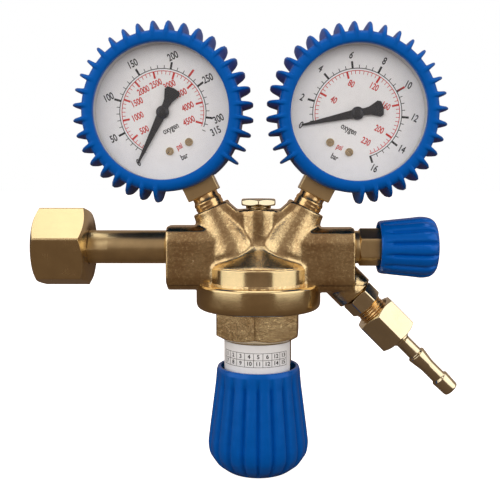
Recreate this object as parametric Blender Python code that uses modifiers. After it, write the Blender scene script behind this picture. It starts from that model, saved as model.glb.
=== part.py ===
"""Single-stage cylinder pressure regulator, built piece by piece in millimetre dimensions.

The row frame has +Z up and the front towards -Y.  Its origin is the centre of the inlet
sealing face, and the inlet axis runs along +X to the forged body.
"""
from math import cos, pi, radians, sin

import bmesh
import bpy
from mathutils import Matrix, Vector

MM = 0.001
GAP = 0.3
SIDES = 24
FINE_SIDES = 36
SMALL_SIDES = 16
TINY_SIDES = 12

# Places of the main axes, from the inlet sealing face.
BODY_X = 85.5
BRANCH_X = 22.8
BRANCH_TILT = 135.0
HIGH_GAUGE = (-41.1, 59.0, -25.57)
LOW_GAUGE = (42.3, 58.5, 27.2)

# Forged body, measured from its own vertical axis.
INLET_FACE = -40.8
OUTLET_FACE = 42.5
TOP_FACE = 17.1
BRANCH_FACE = 29.7
GAUGE_FACE = 45.5
DRUM_R = 23.2
FLANGE_R = 28.0
FLANGE_TOP = -16.2
FLANGE_END = -27.5
SEAT_Z = -19.5
CHAMBER_R = 19.0
BONNET_THREAD_R = 24.0

# Bonnet, adjusting screw and knob, by height.
BONNET_HEX_AF = 36.0
BONNET_HEX_END = -41.0
NECK_R = 15.0
LABEL_HEIGHT = 14.7
LABEL_END = -56.5
LABEL_LEFT = -100.0
LABEL_RIGHT = 66.0
NECK_END = -60.0
SPRING_BORE_R = 12.0
SPRING_BORE_END = -54.0
SCREW_R = 5.7
KNOB_RIM = -54.0
KNOB_WIDE = -89.0
KNOB_END = -102.3
KNOB_WIDE_R = 23.1
KNOB_FLUTES = 20
KNOB_FLUTE_DEPTH = 1.5
PLATE_REST = -52.0

# Inlet, in row coordinates along X.
NUT_AF = 32.0
NUT_START = -13.3
NUT_END = 9.5
NUT_BORE_R = 12.5
STEM_R = 7.5
COLLAR_R = 11.0
SPANNER_HALF = 6.25
SPANNER_END = 18.7
SPANNER_TURN = 28.0

# Outlet valve and hose branch, along their own axes.
VALVE_HEX_AF = 15.0
VALVE_KNOB_RIM = 53.8
VALVE_KNOB_END = 79.4
VALVE_KNOB_R = 13.9
VALVE_FLUTES = 14
VALVE_FLUTE_DEPTH = 1.3
NIPPLE_AF = 14.0
HOSE_NUT_AF = 18.6
HOSE_NUT_START = 41.5
HOSE_NUT_END = 57.5
TAIL_END = 92.2

# Gauges; depth is counted towards the front from the stem's axis.
CASE_R = 31.3
CASE_FRONT = 16.6
CASE_BACK = -11.0
GUARD_R = 34.0
GUARD_FRONT = 20.0
GUARD_BACK = -13.0
GUARD_WINDOW_R = 28.7
FIN_R = 39.0
FIN_STEP = 10.0
FIN_COUNT = 31
BLOCK = 7.3
DIAL_DEPTH = 10.4
SCREW_X = 4.6
SCREW_Z = -16.2
PINION_TEETH = 8
SECTOR_TEETH = 64
MODULE = 0.4
SECTOR_PIVOT = -(PINION_TEETH + SECTOR_TEETH) * MODULE / 2
SECTOR_SWING = 33.75
TAIL_LENGTH = 7.0
TAIL_ANGLE = -38.0
BOURDON_R = 20.5
BOURDON_TIP = (19.8, -5.3)
HIGH_ZERO = 232.0
LOW_ZERO = 231.0

BRASS = (0.62, 0.47, 0.22)
PALE_BRASS = (0.72, 0.6, 0.34)
COPPER = (0.62, 0.33, 0.16)
STEEL = (0.55, 0.55, 0.56)
BLUE = (0.0, 0.08, 0.42)
BLACK = (0.02, 0.02, 0.02)
WHITE = (0.85, 0.85, 0.84)
RUBBER = (0.04, 0.04, 0.045)

for leftover in list(bpy.data.objects):
    bpy.data.objects.remove(leftover, do_unlink=True)


def new_collection(name):
    """Make a collection under the scene."""
    made = bpy.data.collections.new(name)
    bpy.context.scene.collection.children.link(made)
    return made


PARTS = new_collection("gas_regulator")
CUTTERS = new_collection("cutters")


def material(name, colour, roughness, metallic):
    """Make a Principled material for one piece."""
    made = bpy.data.materials.new(name)
    made.use_nodes = True
    shader = made.node_tree.nodes["Principled BSDF"]
    shader.inputs["Base Color"].default_value = (*colour, 1.0)
    shader.inputs["Roughness"].default_value = roughness
    shader.inputs["Metallic"].default_value = metallic
    return made


def paint(piece, colour, roughness=0.35, metallic=1.0):
    """Give a piece its own material."""
    piece.data.materials.clear()
    piece.data.materials.append(material(piece.name, colour, roughness, metallic))


def axis_frame(name, x, z, tilt):
    """Empty whose +Z is a working axis, turned from +Z about the row's Y."""
    frame = bpy.data.objects.new(name, None)
    PARTS.objects.link(frame)
    frame.location = (x * MM, 0.0, z * MM)
    frame.rotation_euler = (0.0, radians(tilt), 0.0)
    return frame


def from_bmesh(name, shape):
    """Turn a bmesh into an object with smooth sides and sharp edges."""
    mesh = bpy.data.meshes.new(name)
    shape.to_mesh(mesh)
    shape.free()
    piece = bpy.data.objects.new(name, mesh)
    PARTS.objects.link(piece)
    return piece


def place(piece, frame, at=(0.0, 0.0, 0.0), turn=(0.0, 0.0, 0.0)):
    """Put a piece in an axis frame, in millimetres and degrees."""
    piece.parent = frame
    piece.location = Vector(at) * MM
    piece.rotation_euler = [radians(angle) for angle in turn]
    return piece


def turned(name, profile, sides=SIDES):
    """Turn a profile of (radius, height) about Z; it runs down its outer side."""
    mesh = bpy.data.meshes.new(name)
    points = [(radius * MM, 0.0, height * MM) for radius, height in profile]
    edges = [(index, index + 1) for index in range(len(points) - 1)]
    if profile[0][0] > 0:
        edges.append((len(points) - 1, 0))
    mesh.from_pydata(points, edges, [])
    piece = bpy.data.objects.new(name, mesh)
    PARTS.objects.link(piece)
    screw = piece.modifiers.new("turn", "SCREW")
    screw.axis = "Z"
    screw.steps = sides
    screw.render_steps = sides
    screw.use_merge_vertices = True
    screw.merge_threshold = 0.00001
    screw.use_smooth_shade = True
    return piece


def rod(name, radius, low, high, sides=SIDES):
    """Plain round bar along Z."""
    shape = bmesh.new()
    bmesh.ops.create_cone(
        shape, cap_ends=True, segments=sides,
        radius1=radius * MM, radius2=radius * MM, depth=(high - low) * MM,
        matrix=Matrix.Translation((0.0, 0.0, (high + low) / 2 * MM)),
    )
    return from_bmesh(name, shape)


def hexagon(name, across_flats, low, high):
    """Hexagonal bar along Z, with a flat towards +Y and -Y."""
    shape = bmesh.new()
    corner = across_flats / cos(pi / 6) / 2 * MM
    bmesh.ops.create_cone(
        shape, cap_ends=True, segments=6,
        radius1=corner, radius2=corner, depth=(high - low) * MM,
        matrix=Matrix.Translation((0.0, 0.0, (high + low) / 2 * MM)),
    )
    return from_bmesh(name, shape)


def block(name, low, high):
    """Rectangular block between two corners."""
    shape = bmesh.new()
    size = [(b - a) * MM for a, b in zip(low, high)]
    middle = [(a + b) / 2 * MM for a, b in zip(low, high)]
    bmesh.ops.create_cube(shape, size=1.0)
    bmesh.ops.scale(shape, vec=size, verts=shape.verts)
    bmesh.ops.translate(shape, vec=middle, verts=shape.verts)
    return from_bmesh(name, shape)


def plate(name, outline, back, front, holes=()):
    """Flat plate in the XZ plane; back and front are depths towards -Y."""
    curve = bpy.data.curves.new(name, "CURVE")
    curve.dimensions = "2D"
    curve.fill_mode = "BOTH"
    curve.extrude = (front - back) / 2 * MM
    for loop in (outline, *holes):
        spline = curve.splines.new("POLY")
        spline.points.add(len(loop) - 1)
        for point, (x, z) in zip(spline.points, loop):
            point.co = (x * MM, z * MM, 0.0, 1.0)
        spline.use_cyclic_u = True
    return curve_to_piece(
        name, curve,
        Matrix.Translation((0.0, -(front + back) / 2 * MM, 0.0)) @ Matrix.Rotation(pi / 2, 4, "X"),
    )


def curve_to_piece(name, curve, matrix):
    """Evaluate a curve, weld its caps and keep it as a closed mesh."""
    source = bpy.data.objects.new(name + "_curve", curve)
    PARTS.objects.link(source)
    bpy.context.view_layer.update()
    graph = bpy.context.evaluated_depsgraph_get()
    mesh = bpy.data.meshes.new_from_object(source.evaluated_get(graph))
    shape = bmesh.new()
    shape.from_mesh(mesh)
    bmesh.ops.remove_doubles(shape, verts=shape.verts, dist=0.000001)
    bmesh.ops.transform(shape, matrix=matrix, verts=shape.verts)
    bmesh.ops.recalc_face_normals(shape, faces=shape.faces)
    bpy.data.objects.remove(source)
    return from_bmesh(name, shape)


def wire(name, points, radius, rounding=2):
    """Round wire through points, as a closed mesh."""
    curve = bpy.data.curves.new(name, "CURVE")
    curve.dimensions = "3D"
    curve.bevel_depth = radius * MM
    curve.bevel_resolution = rounding
    curve.use_fill_caps = True
    spline = curve.splines.new("POLY")
    spline.points.add(len(points) - 1)
    for point, place_mm in zip(spline.points, points):
        point.co = (*(Vector(place_mm) * MM), 1.0)
    return curve_to_piece(name, curve, Matrix.Identity(4))


def combine(piece, tool, operation):
    """Add a Boolean that uses a tool body, and move the tool to the cutters."""
    step = piece.modifiers.new(tool.name, "BOOLEAN")
    step.operation = operation
    step.solver = "EXACT"
    step.object = tool
    if tool.name in PARTS.objects:
        PARTS.objects.unlink(tool)
        CUTTERS.objects.link(tool)
    tool.hide_render = True
    tool.display_type = "WIRE"
    return piece


def join(piece, tool):
    """Fuse a tool body onto a piece."""
    return combine(piece, tool, "UNION")


def cut(piece, tool):
    """Take a tool body away from a piece."""
    return combine(piece, tool, "DIFFERENCE")


def trim(piece, tool):
    """Keep only what lies inside a tool body."""
    return combine(piece, tool, "INTERSECT")


def round_long_edges(piece, width, segments):
    """Round only a block's edges that run along X."""
    mesh = piece.data
    weights = mesh.attributes.new("bevel_weight_edge", "FLOAT", "EDGE")
    for edge in mesh.edges:
        start, end = (mesh.vertices[index].co for index in edge.vertices)
        weights.data[edge.index].value = 1.0 if abs(start.x - end.x) > 0.001 else 0.0
    bevel = piece.modifiers.new("rounding", "BEVEL")
    bevel.width = width * MM
    bevel.segments = segments
    bevel.limit_method = "WEIGHT"


def chamfered_hexagon(name, across_flats, low, high, frame, low_cone=True, high_cone=True):
    """Hexagon whose corners are turned off by a cone at one or both ends."""
    piece = place(hexagon(name, across_flats, low, high), frame)
    corner = across_flats / cos(pi / 6) / 2
    flat = across_flats / 2 - 0.4
    drop = (corner + 0.2 - flat) * 0.58
    profile = [(0.0, high + 0.1), (flat if high_cone else corner + 0.2, high + 0.1)]
    profile.append((corner + 0.2, high + 0.1 - drop if high_cone else high))
    profile.append((corner + 0.2, low - 0.1 + drop if low_cone else low))
    profile += [(flat if low_cone else corner + 0.2, low - 0.1), (0.0, low - 0.1)]
    trim(piece, place(turned(name + "_cone", profile), frame))
    return piece


def fluted(name, profile, flutes, depth_at, frame):
    """Turned shell whose outer wall is pressed in between ribs."""
    shape = bmesh.new()
    sides = flutes * 2
    rows = []
    for radius, height, outer in profile:
        row = []
        for index in range(sides):
            angle = 2 * pi * index / sides
            inset = depth_at(height) * (index % 2) if outer else 0.0
            reach = (radius - inset) * MM
            row.append(shape.verts.new((reach * cos(angle), reach * sin(angle), height * MM)))
        rows.append(row)
    for upper, lower in zip(rows, rows[1:]):
        for index in range(sides):
            after = (index + 1) % sides
            shape.faces.new((upper[index], lower[index], lower[after], upper[after]))
    shape.faces.new(rows[0])
    shape.faces.new(list(reversed(rows[-1])))
    bmesh.ops.recalc_face_normals(shape, faces=shape.faces)
    return place(from_bmesh(name, shape), frame)


def coil(name, radius, wire_radius, low, high, turns, points_per_turn, frame):
    """Compression spring along Z with a closed mesh of wire."""
    count = int(turns * points_per_turn)
    points = []
    for index in range(count + 1):
        share = index / count
        angle = 2 * pi * turns * share
        height = low + wire_radius + (high - low - 2 * wire_radius) * share
        points.append((radius * cos(angle), radius * sin(angle), height))
    return place(wire(name, points, wire_radius), frame)


def ring(name, radius, section, height, frame, sides=24, section_sides=6):
    """O-ring about Z."""
    profile = []
    for index in range(section_sides):
        angle = pi / 2 - 2 * pi * index / section_sides
        profile.append((radius + section * cos(angle), height + section * sin(angle)))
    return place(turned(name, profile, sides), frame)


def body_forging(axis, cross, branch, gauges):
    """Forged body: drum and clamping flange, side bosses, arms, web and its drillings."""
    drum = [
        (0.0, 3.0), (8.5, 3.0), (12.0, -0.6), (22.5, -7.2), (DRUM_R, -8.0),
        (DRUM_R, -14.9), (24.3, FLANGE_TOP), (27.2, FLANGE_TOP), (FLANGE_R, FLANGE_TOP - 0.9),
        (FLANGE_R, -24.4), (27.2, -26.4), (25.4, FLANGE_END), (0.0, FLANGE_END),
    ]
    body = place(turned("body_forging", drum, FINE_SIDES), axis)
    for side, low, high in (
        ("inlet", (INLET_FACE, -11.0, -18.8), (-8.0, 11.0, 9.7)),
        ("outlet", (8.0, -11.0, -20.0), (OUTLET_FACE, 11.0, 8.8)),
    ):
        slab = block(side + "_slab", low, high)
        round_long_edges(slab, 5.5, 2)
        join(body, place(slab, axis))
    half_web = [(9.0, 16.4), (14.2, 20.9), (22.0, 17.0), (24.0, -6.0)]
    web = plate("arm_web", half_web + [(-x, z) for x, z in reversed(half_web)], -7.5, 7.5)
    join(body, place(web, axis))
    arm = [(0.0, -GAUGE_FACE), (8.8, -GAUGE_FACE), (8.8, -48.0), (13.2, -66.0), (13.2, -72.0), (0.0, -72.0)]
    for frame, side in gauges:
        join(body, place(turned(side + "_arm", arm), frame))
    join(body, place(rod("top_boss", 9.7, -4.0, TOP_FACE), axis))
    join(body, place(rod("branch_boss", 8.8, 0.0, BRANCH_FACE), branch))
    chamber = [
        (0.0, 3.5), (5.5, 3.5), (5.5, -4.0), (7.0, -4.0), (7.0, -13.5), (CHAMBER_R, -13.5),
        (CHAMBER_R, SEAT_Z), (BONNET_THREAD_R, SEAT_Z), (BONNET_THREAD_R, -28.5), (0.0, -28.5),
    ]
    cut(body, place(turned("chamber_bore", chamber), axis))
    relief = [(0.0, 18.5), (4.5, 18.5), (4.5, 8.0), (1.5, 8.0), (1.5, 5.2), (0.0, 5.2)]
    cut(body, place(turned("relief_bore", relief, TINY_SIDES), axis))
    cut(body, place(rod("relief_feed", 1.25, -14.5, 7.2, 8), axis, (0.0, 8.5, 0.0)))
    cut(body, place(rod("relief_cross_feed", 1.0, 0.0, 8.6, 8), axis, (0.0, 8.6, 6.4), (90.0, 0.0, 0.0)))
    inlet = [(0.0, -4.0), (2.5, -4.0), (2.5, -27.0), (6.8, -27.0), (6.8, -42.5), (0.0, -42.5)]
    cut(body, place(turned("inlet_bore", inlet, SMALL_SIDES), cross))
    outlet = [(0.0, 43.5), (5.75, 43.5), (5.75, 17.0), (2.5, 17.0), (2.5, 9.0), (0.0, 9.0)]
    cut(body, place(turned("outlet_bore", outlet, SMALL_SIDES), cross))
    cut(body, place(rod("low_pressure_riser", 1.8, -14.5, 0.5, 8), axis, (13.0, 0.0, 0.0)))
    hose = [(0.0, 30.5), (5.9, 30.5), (5.9, 19.5), (3.0, 19.5), (3.0, 0.0), (0.0, 0.0)]
    cut(body, place(turned("branch_bore", hose, SMALL_SIDES), branch))
    for frame, side in gauges:
        port = [(0.0, -45.0), (6.8, -45.0), (6.8, -55.5), (1.9, -55.5), (1.9, -65.2), (0.0, -65.2)]
        cut(body, place(turned(side + "_port", port, SMALL_SIDES), frame))
    paint(body, BRASS, 0.3)


def bonnet(axis):
    """Spring housing: threaded disc, hexagon and neck that carries the adjusting screw."""
    profile = [
        (SPRING_BORE_R, -22.4), (23.6, -22.4), (23.6, -27.8), (17.6, -27.8),
        (17.6, BONNET_HEX_END), (NECK_R, BONNET_HEX_END - 0.6), (NECK_R, NECK_END),
        (6.0, NECK_END), (6.0, SPRING_BORE_END), (SPRING_BORE_R, SPRING_BORE_END),
    ]
    piece = place(turned("bonnet", profile), axis)
    across = chamfered_hexagon("bonnet_hexagon", BONNET_HEX_AF, BONNET_HEX_END, -27.8, axis, True, False)
    across.rotation_euler = (0.0, 0.0, radians(25.5))
    cut(across, place(rod("bonnet_hexagon_bore", 14.0, -42.0, -26.0), axis))
    join(piece, across)
    paint(piece, BRASS, 0.25)


def serial_label(axis):
    """Paper label wrapped round the front of the neck."""
    outline = []
    for radius, order in ((NECK_R + 0.55, 1), (NECK_R + 0.3, -1)):
        angles = [-90 + LABEL_LEFT + (LABEL_RIGHT - LABEL_LEFT) * step / 16 for step in range(17)]
        for angle in angles[::order]:
            outline.append((radius * cos(radians(angle)), radius * sin(radians(angle))))
    label = plate("serial_label", outline, 0.0, LABEL_HEIGHT)
    place(label, axis, (0.0, 0.0, LABEL_END), (-90.0, 0.0, 0.0))
    paint(label, WHITE, 0.6, 0.0)


def clamped_discs(axis):
    """Diaphragm and slip ring, held between the body's seat and the bonnet."""
    diaphragm = place(turned("diaphragm", [(3.3, -19.8), (23.4, -19.8), (23.4, -20.9), (3.3, -20.9)]), axis)
    paint(diaphragm, RUBBER, 0.8, 0.0)
    slip = place(turned("slip_ring", [(15.0, -21.2), (23.4, -21.2), (23.4, -22.1), (15.0, -22.1)]), axis)
    paint(slip, STEEL, 0.4)


def valve_capsule(axis):
    """Screwed-in seat carrier with the cup that guides the poppet."""
    profile = [
        (4.2, 2.9), (5.0, 2.9), (5.0, -4.3), (6.7, -4.3), (6.7, -13.8), (8.6, -13.8),
        (8.6, -16.4), (1.4, -16.4), (1.4, -3.7), (2.0, -3.7), (2.2, -4.1), (4.2, -4.1),
    ]
    paint(place(turned("valve_capsule", profile, SMALL_SIDES), axis), BRASS)


def valve_train(axis):
    """Poppet, push pin and diaphragm plates, which lift together."""
    poppet = [(0.0, 1.8), (1.5, 1.8), (1.5, -0.6), (3.8, -0.6), (3.8, -3.4), (0.0, -3.4)]
    paint(place(turned("valve_poppet", poppet, SMALL_SIDES), axis), BLACK, 0.5, 0.0)
    paint(place(rod("valve_pin", 0.9, -18.1, -3.7, 12), axis), STEEL, 0.3)
    upper = [(0.0, -18.4), (13.0, -18.4), (13.0, -19.5), (3.0, -19.5), (3.0, -21.9), (0.0, -21.9)]
    paint(place(turned("diaphragm_plate", upper), axis), STEEL, 0.4)
    lower = [(0.0, -22.2), (10.8, -22.2), (10.8, -23.6), (7.5, -24.8), (0.0, -24.8)]
    paint(place(turned("upper_spring_seat", lower), axis), STEEL, 0.4)


def springs(axis):
    """Adjusting spring, closing spring over the poppet and relief spring."""
    paint(coil("adjusting_spring", 9.2, 1.5, -48.9, -25.2, 4.0, 10, axis), STEEL, 0.35)
    paint(coil("valve_spring", 2.8, 0.4, -0.3, 3.1, 3.0, 8, axis), STEEL, 0.35)
    paint(coil("relief_spring", 2.4, 0.4, 10.7, 19.0, 3.5, 8, axis), STEEL, 0.35)


def relief_valve(axis):
    """Spring-loaded relief poppet under its vented hexagonal cap."""
    profile = [
        (0.0, 20.6), (7.0, 20.6), (7.0, 18.6), (5.65, 18.6), (5.65, 17.4), (4.2, 17.4),
        (4.2, 12.4), (3.3, 12.4), (3.3, 19.3), (0.0, 19.3),
    ]
    cap = place(turned("relief_cap", profile, SMALL_SIDES), axis)
    head = chamfered_hexagon("relief_hexagon", 15.2, 18.6, 21.7, axis)
    cut(head, place(rod("relief_hexagon_bore", 3.3, 18.0, 19.3, SMALL_SIDES), axis))
    head.rotation_euler = (0.0, 0.0, radians(30.0))
    join(cap, head)
    vent = place(rod("relief_vent", 0.4, -7.0, 7.0, 6), axis, (0.0, 0.0, 18.0), (90.0, 0.0, 45.0))
    cut(cap, vent)
    paint(cap, PALE_BRASS, 0.25)
    poppet = [(0.0, 13.2), (1.3, 13.2), (1.3, 10.3), (3.0, 10.3), (3.0, 8.3), (0.0, 8.3)]
    paint(place(turned("relief_poppet", poppet, TINY_SIDES), axis), BRASS)


def adjusting_group(axis):
    """Lower spring plate, adjusting screw and the big fluted knob."""
    seat = [(0.0, -49.2), (11.5, -49.2), (11.5, -50.6), (6.0, PLATE_REST), (0.0, PLATE_REST)]
    paint(place(turned("spring_plate", seat), axis), STEEL, 0.4)
    screw = [(0.0, -52.3), (2.5, -52.3), (SCREW_R, -54.5), (SCREW_R, -88.0), (4.5, -89.0), (0.0, -89.0)]
    paint(place(turned("adjusting_screw", screw, SMALL_SIDES), axis), STEEL, 0.3)
    wall = [
        (6.0, -89.4, False), (6.0, -69.0, False), (16.4, -69.0, False), (17.0, KNOB_RIM, False),
        (18.2, KNOB_RIM, True), (18.95, KNOB_RIM - 0.8, True), (19.6, -62.0, True), (20.8, -72.0, True),
        (22.0, -82.0, True), (KNOB_WIDE_R, KNOB_WIDE, True), (22.4, -93.0, True),
        (19.4, -98.0, True), (14.5, KNOB_END, True),
    ]

    def flute(height):
        below_rim = min(max((KNOB_RIM - 3.0 - height) / 8.0, 0.0), 1.0)
        return KNOB_FLUTE_DEPTH * below_rim * min((height - KNOB_END) / 4.0, 1.0)

    paint(fluted("adjusting_knob", wall, KNOB_FLUTES, flute, axis), BLUE, 0.4, 0.0)


def inlet_stem(frame):
    """Inlet tail: nipple, collar behind the sealing face, long stem and threaded end."""
    profile = [
        (2.5, BODY_X - 28.0), (6.5, BODY_X - 28.0), (6.5, BODY_X + INLET_FACE - GAP),
        (STEM_R, BODY_X + INLET_FACE - GAP), (STEM_R, 4.0), (COLLAR_R, 4.0), (COLLAR_R, 0.0),
        (7.4, 0.0), (7.4, 0.6), (6.4, 0.6), (6.4, -1.2), (5.2, -1.2), (5.2, -3.4),
        (6.4, -3.4), (6.4, -5.2), (5.6, -6.0),
        (4.3, -6.0), (4.3, 14.0), (2.5, 14.0),
    ]
    stem = place(turned("inlet_stem", profile), frame)
    for side, turn in (("front", 180.0 - SPANNER_TURN), ("back", -SPANNER_TURN)):
        flat = block("spanner_flat_" + side, (-9.0, SPANNER_HALF, 4.3), (9.0, 10.0, SPANNER_END))
        cut(stem, place(flat, frame, turn=(0.0, 0.0, turn)))
    paint(stem, BRASS, 0.22)


def inlet_small_parts(frame):
    """O-ring in the nipple groove and the sintered filter behind it."""
    paint(ring("inlet_o_ring", 6.25, 0.72, -2.3, frame), RUBBER, 0.6, 0.0)
    filter_cup = [
        (0.0, 13.4), (3.9, 13.4), (3.9, -4.5), (3.0, -4.5), (3.0, 11.9), (0.0, 11.9),
    ]
    paint(place(turned("inlet_filter", filter_cup, TINY_SIDES), frame), PALE_BRASS, 0.8)


def inlet_nut(frame):
    """Cylinder nut: hexagon with a threaded bore and a shoulder behind the collar."""
    nut = chamfered_hexagon("inlet_nut", NUT_AF, NUT_START, NUT_END, frame)
    bore = [
        (0.0, NUT_END + 1.0), (STEM_R + GAP, NUT_END + 1.0), (STEM_R + GAP, 4.3), (NUT_BORE_R, 4.3),
        (NUT_BORE_R, NUT_START + 1.2), (NUT_BORE_R + 1.4, NUT_START - 0.5), (0.0, NUT_START - 0.5),
    ]
    cut(nut, place(turned("inlet_nut_bore", bore), frame))
    nut.rotation_euler = (0.0, 0.0, radians(-45.0))
    paint(nut, BRASS, 0.3)


def outlet_valve(cross):
    """Shut-off valve on the outlet: bonnet, O-ring, spindle, pad and fluted knob."""
    profile = [
        (3.15, 44.9), (7.35, 44.9), (7.35, OUTLET_FACE + GAP), (5.45, OUTLET_FACE + GAP),
        (5.45, 31.0), (3.15, 31.0),
    ]
    valve = place(turned("outlet_valve_bonnet", profile, SMALL_SIDES), cross)
    head = chamfered_hexagon("outlet_valve_hexagon", VALVE_HEX_AF, 44.7, 56.0, cross, True, True)
    packing = [(0.0, 57.0), (5.25, 57.0), (5.25, 46.4), (3.15, 46.4), (3.15, 44.0), (0.0, 44.0)]
    cut(head, place(turned("packing_bore", packing, SMALL_SIDES), cross))
    join(valve, head)
    paint(valve, BRASS, 0.25)
    paint(ring("spindle_o_ring", 4.05, 0.9, 47.8, cross, SMALL_SIDES), RUBBER, 0.6, 0.0)
    gland = [(3.15, 55.6), (4.95, 55.6), (4.95, 49.4), (3.15, 49.4)]
    paint(place(turned("spindle_gland", gland, SMALL_SIDES), cross), BRASS)
    paint(place(rod("outlet_spindle", 2.85, 22.9, 75.0, SMALL_SIDES), cross), STEEL, 0.3)
    pad = [(0.0, 22.6), (3.6, 22.6), (4.6, 21.6), (4.6, 17.3), (0.0, 17.3)]
    paint(place(turned("outlet_valve_pad", pad, SMALL_SIDES), cross), RUBBER, 0.7, 0.0)
    wall = [
        (3.15, 75.4, False), (3.15, 62.0, False), (9.8, 62.0, False), (10.2, VALVE_KNOB_RIM, False),
        (11.4, VALVE_KNOB_RIM, True), (11.9, VALVE_KNOB_RIM + 0.7, True), (12.5, 60.0, True),
        (13.3, 68.0, True), (VALVE_KNOB_R, 73.0, True), (13.3, 76.5, True), (11.4, VALVE_KNOB_END, True),
    ]

    def flute(height):
        past_rim = min(max((height - VALVE_KNOB_RIM - 1.5) / 5.0, 0.0), 1.0)
        return VALVE_FLUTE_DEPTH * past_rim * min((VALVE_KNOB_END - height) / 3.0, 1.0)

    paint(fluted("outlet_knob", wall, VALVE_FLUTES, flute, cross), BLUE, 0.4, 0.0)


def hose_branch(branch):
    """Nipple, gasket, union nut and barbed hose tail on the angled branch."""
    profile = [
        (2.5, 48.7), (5.6, 48.7), (6.5, 47.8), (6.5, 37.5), (6.9, 37.5), (6.9, BRANCH_FACE + GAP),
        (5.6, BRANCH_FACE + GAP), (5.6, 20.2), (2.5, 20.2),
    ]
    nipple = place(turned("outlet_nipple", profile, SMALL_SIDES), branch)
    across = chamfered_hexagon("nipple_hexagon", NIPPLE_AF, BRANCH_FACE + GAP, 37.5, branch)
    cut(across, place(rod("nipple_hexagon_bore", 4.0, 29.0, 38.0, SMALL_SIDES), branch))
    join(nipple, across)
    paint(nipple, COPPER, 0.3)
    gasket = [(2.8, 50.1), (6.2, 50.1), (6.2, 49.0), (2.8, 49.0)]
    paint(place(turned("nipple_gasket", gasket, SMALL_SIDES), branch), RUBBER, 0.7, 0.0)
    nut = chamfered_hexagon("hose_nut", HOSE_NUT_AF, HOSE_NUT_START, HOSE_NUT_END, branch)
    bore = [
        (0.0, 58.5), (4.5, 58.5), (4.5, 53.0), (6.8, 53.0), (6.8, 42.5), (7.8, 41.0), (0.0, 41.0),
    ]
    cut(nut, place(turned("hose_nut_bore", bore, SMALL_SIDES), branch))
    nut.rotation_euler = (0.0, 0.0, radians(30.0))
    paint(nut, PALE_BRASS, 0.3)
    tail = [
        (2.1, TAIL_END), (3.7, TAIL_END), (3.8, 91.7), (4.1, 84.4), (3.35, 83.6), (3.35, 76.0),
        (4.35, 69.1), (3.35, 68.3), (3.35, 60.2), (4.15, 59.4), (4.15, 52.7), (6.45, 52.7),
        (6.45, 50.5), (2.1, 50.5),
    ]
    paint(place(turned("hose_tail", tail, SMALL_SIDES), branch), PALE_BRASS, 0.25)


def gear_outline(teeth, pitch_radius, span, start, root_drop, tip_rise, half_base, half_tip):
    """Trapezoid teeth along an arc; angles are counted anticlockwise from +Z."""
    points = []
    for index in range(span):
        middle = radians(start + 360.0 * index / teeth)
        for offset, reach in (
            (-half_base, pitch_radius - root_drop), (-half_tip, pitch_radius + tip_rise),
            (half_tip, pitch_radius + tip_rise), (half_base, pitch_radius - root_drop),
        ):
            angle = middle + offset / reach
            points.append((-reach * sin(angle), reach * cos(angle)))
    return points


def circle(centre, radius, sides=12):
    """Points round a hole."""
    steps = [2 * pi * index / sides for index in range(sides)]
    return [(centre[0] + radius * cos(a), centre[1] + radius * sin(a)) for a in steps]


def gauge_socket(side, frame):
    """Square shank with its thread outside and the tube holder inside the case."""
    thread = [
        (0.0, -39.0), (5.5, -39.0), (5.5, -41.3), (6.5, -41.9), (6.5, -53.2), (5.9, -54.0), (0.0, -54.0),
    ]
    shank = block(side + "_socket", (-BLOCK, -BLOCK, -39.6), (BLOCK, BLOCK, -29.0))
    place(shank, frame)
    holder = block(side + "_tube_holder", (-BLOCK, -4.1, -29.5), (BLOCK, 6.5, -14.0))
    join(shank, place(holder, frame))
    join(shank, place(turned(side + "_shank_thread", thread, SMALL_SIDES), frame))
    cut(shank, place(rod(side + "_shank_bore", 1.5, -55.0, -19.0, 10), frame, (0.0, 2.0, 0.0)))
    feed = place(rod(side + "_tube_feed", 1.1, 0.0, 8.0, 8), frame, (0.0, 2.0, -20.2), (0.0, -90.0, 0.0))
    cut(shank, feed)
    paint(shank, BRASS, 0.3)


def gauge_case(side, frame):
    """Pressed case, clear window and the printed dial plate."""
    front = {"turn": (90.0, 0.0, 0.0)}
    wall = [
        (0.0, -9.6), (30.2, -9.6), (30.2, CASE_FRONT), (CASE_R, CASE_FRONT), (CASE_R, CASE_BACK),
        (0.0, CASE_BACK),
    ]
    case = place(turned(side + "_case", wall, FINE_SIDES), frame, **front)
    clear = BLOCK + GAP
    opening = block(side + "_case_opening", (-clear, -clear, -33.0), (clear, clear, -26.0))
    cut(case, place(opening, frame))
    paint(case, STEEL, 0.4)
    pane = [(0.0, 16.2), (29.9, 16.2), (29.9, 14.6), (0.0, 14.6)]
    window = place(turned(side + "_window", pane, FINE_SIDES), frame, **front)
    paint(window, (0.9, 0.95, 1.0), 0.05, 0.0)
    holes = [circle((x, z), 1.3, 8) for x, z in ((0.0, 0.0), (-SCREW_X, SCREW_Z), (SCREW_X, SCREW_Z))]
    disc = circle((0.0, 0.0), 29.9, FINE_SIDES)
    dial = place(plate(side + "_dial", disc, DIAL_DEPTH, DIAL_DEPTH + 0.5, holes), frame)
    paint(dial, WHITE, 0.5, 0.0)
    for label, x in (("left", -SCREW_X), ("right", SCREW_X)):
        profile = [(0.0, 11.9), (1.5, 11.9), (1.8, 11.2), (0.9, 11.2), (0.9, 8.9), (0.0, 8.9)]
        screw = turned("%s_dial_screw_%s" % (side, label), profile, 12)
        paint(place(screw, frame, (x, 0.0, SCREW_Z), **front), BRASS, 0.3)


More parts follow.
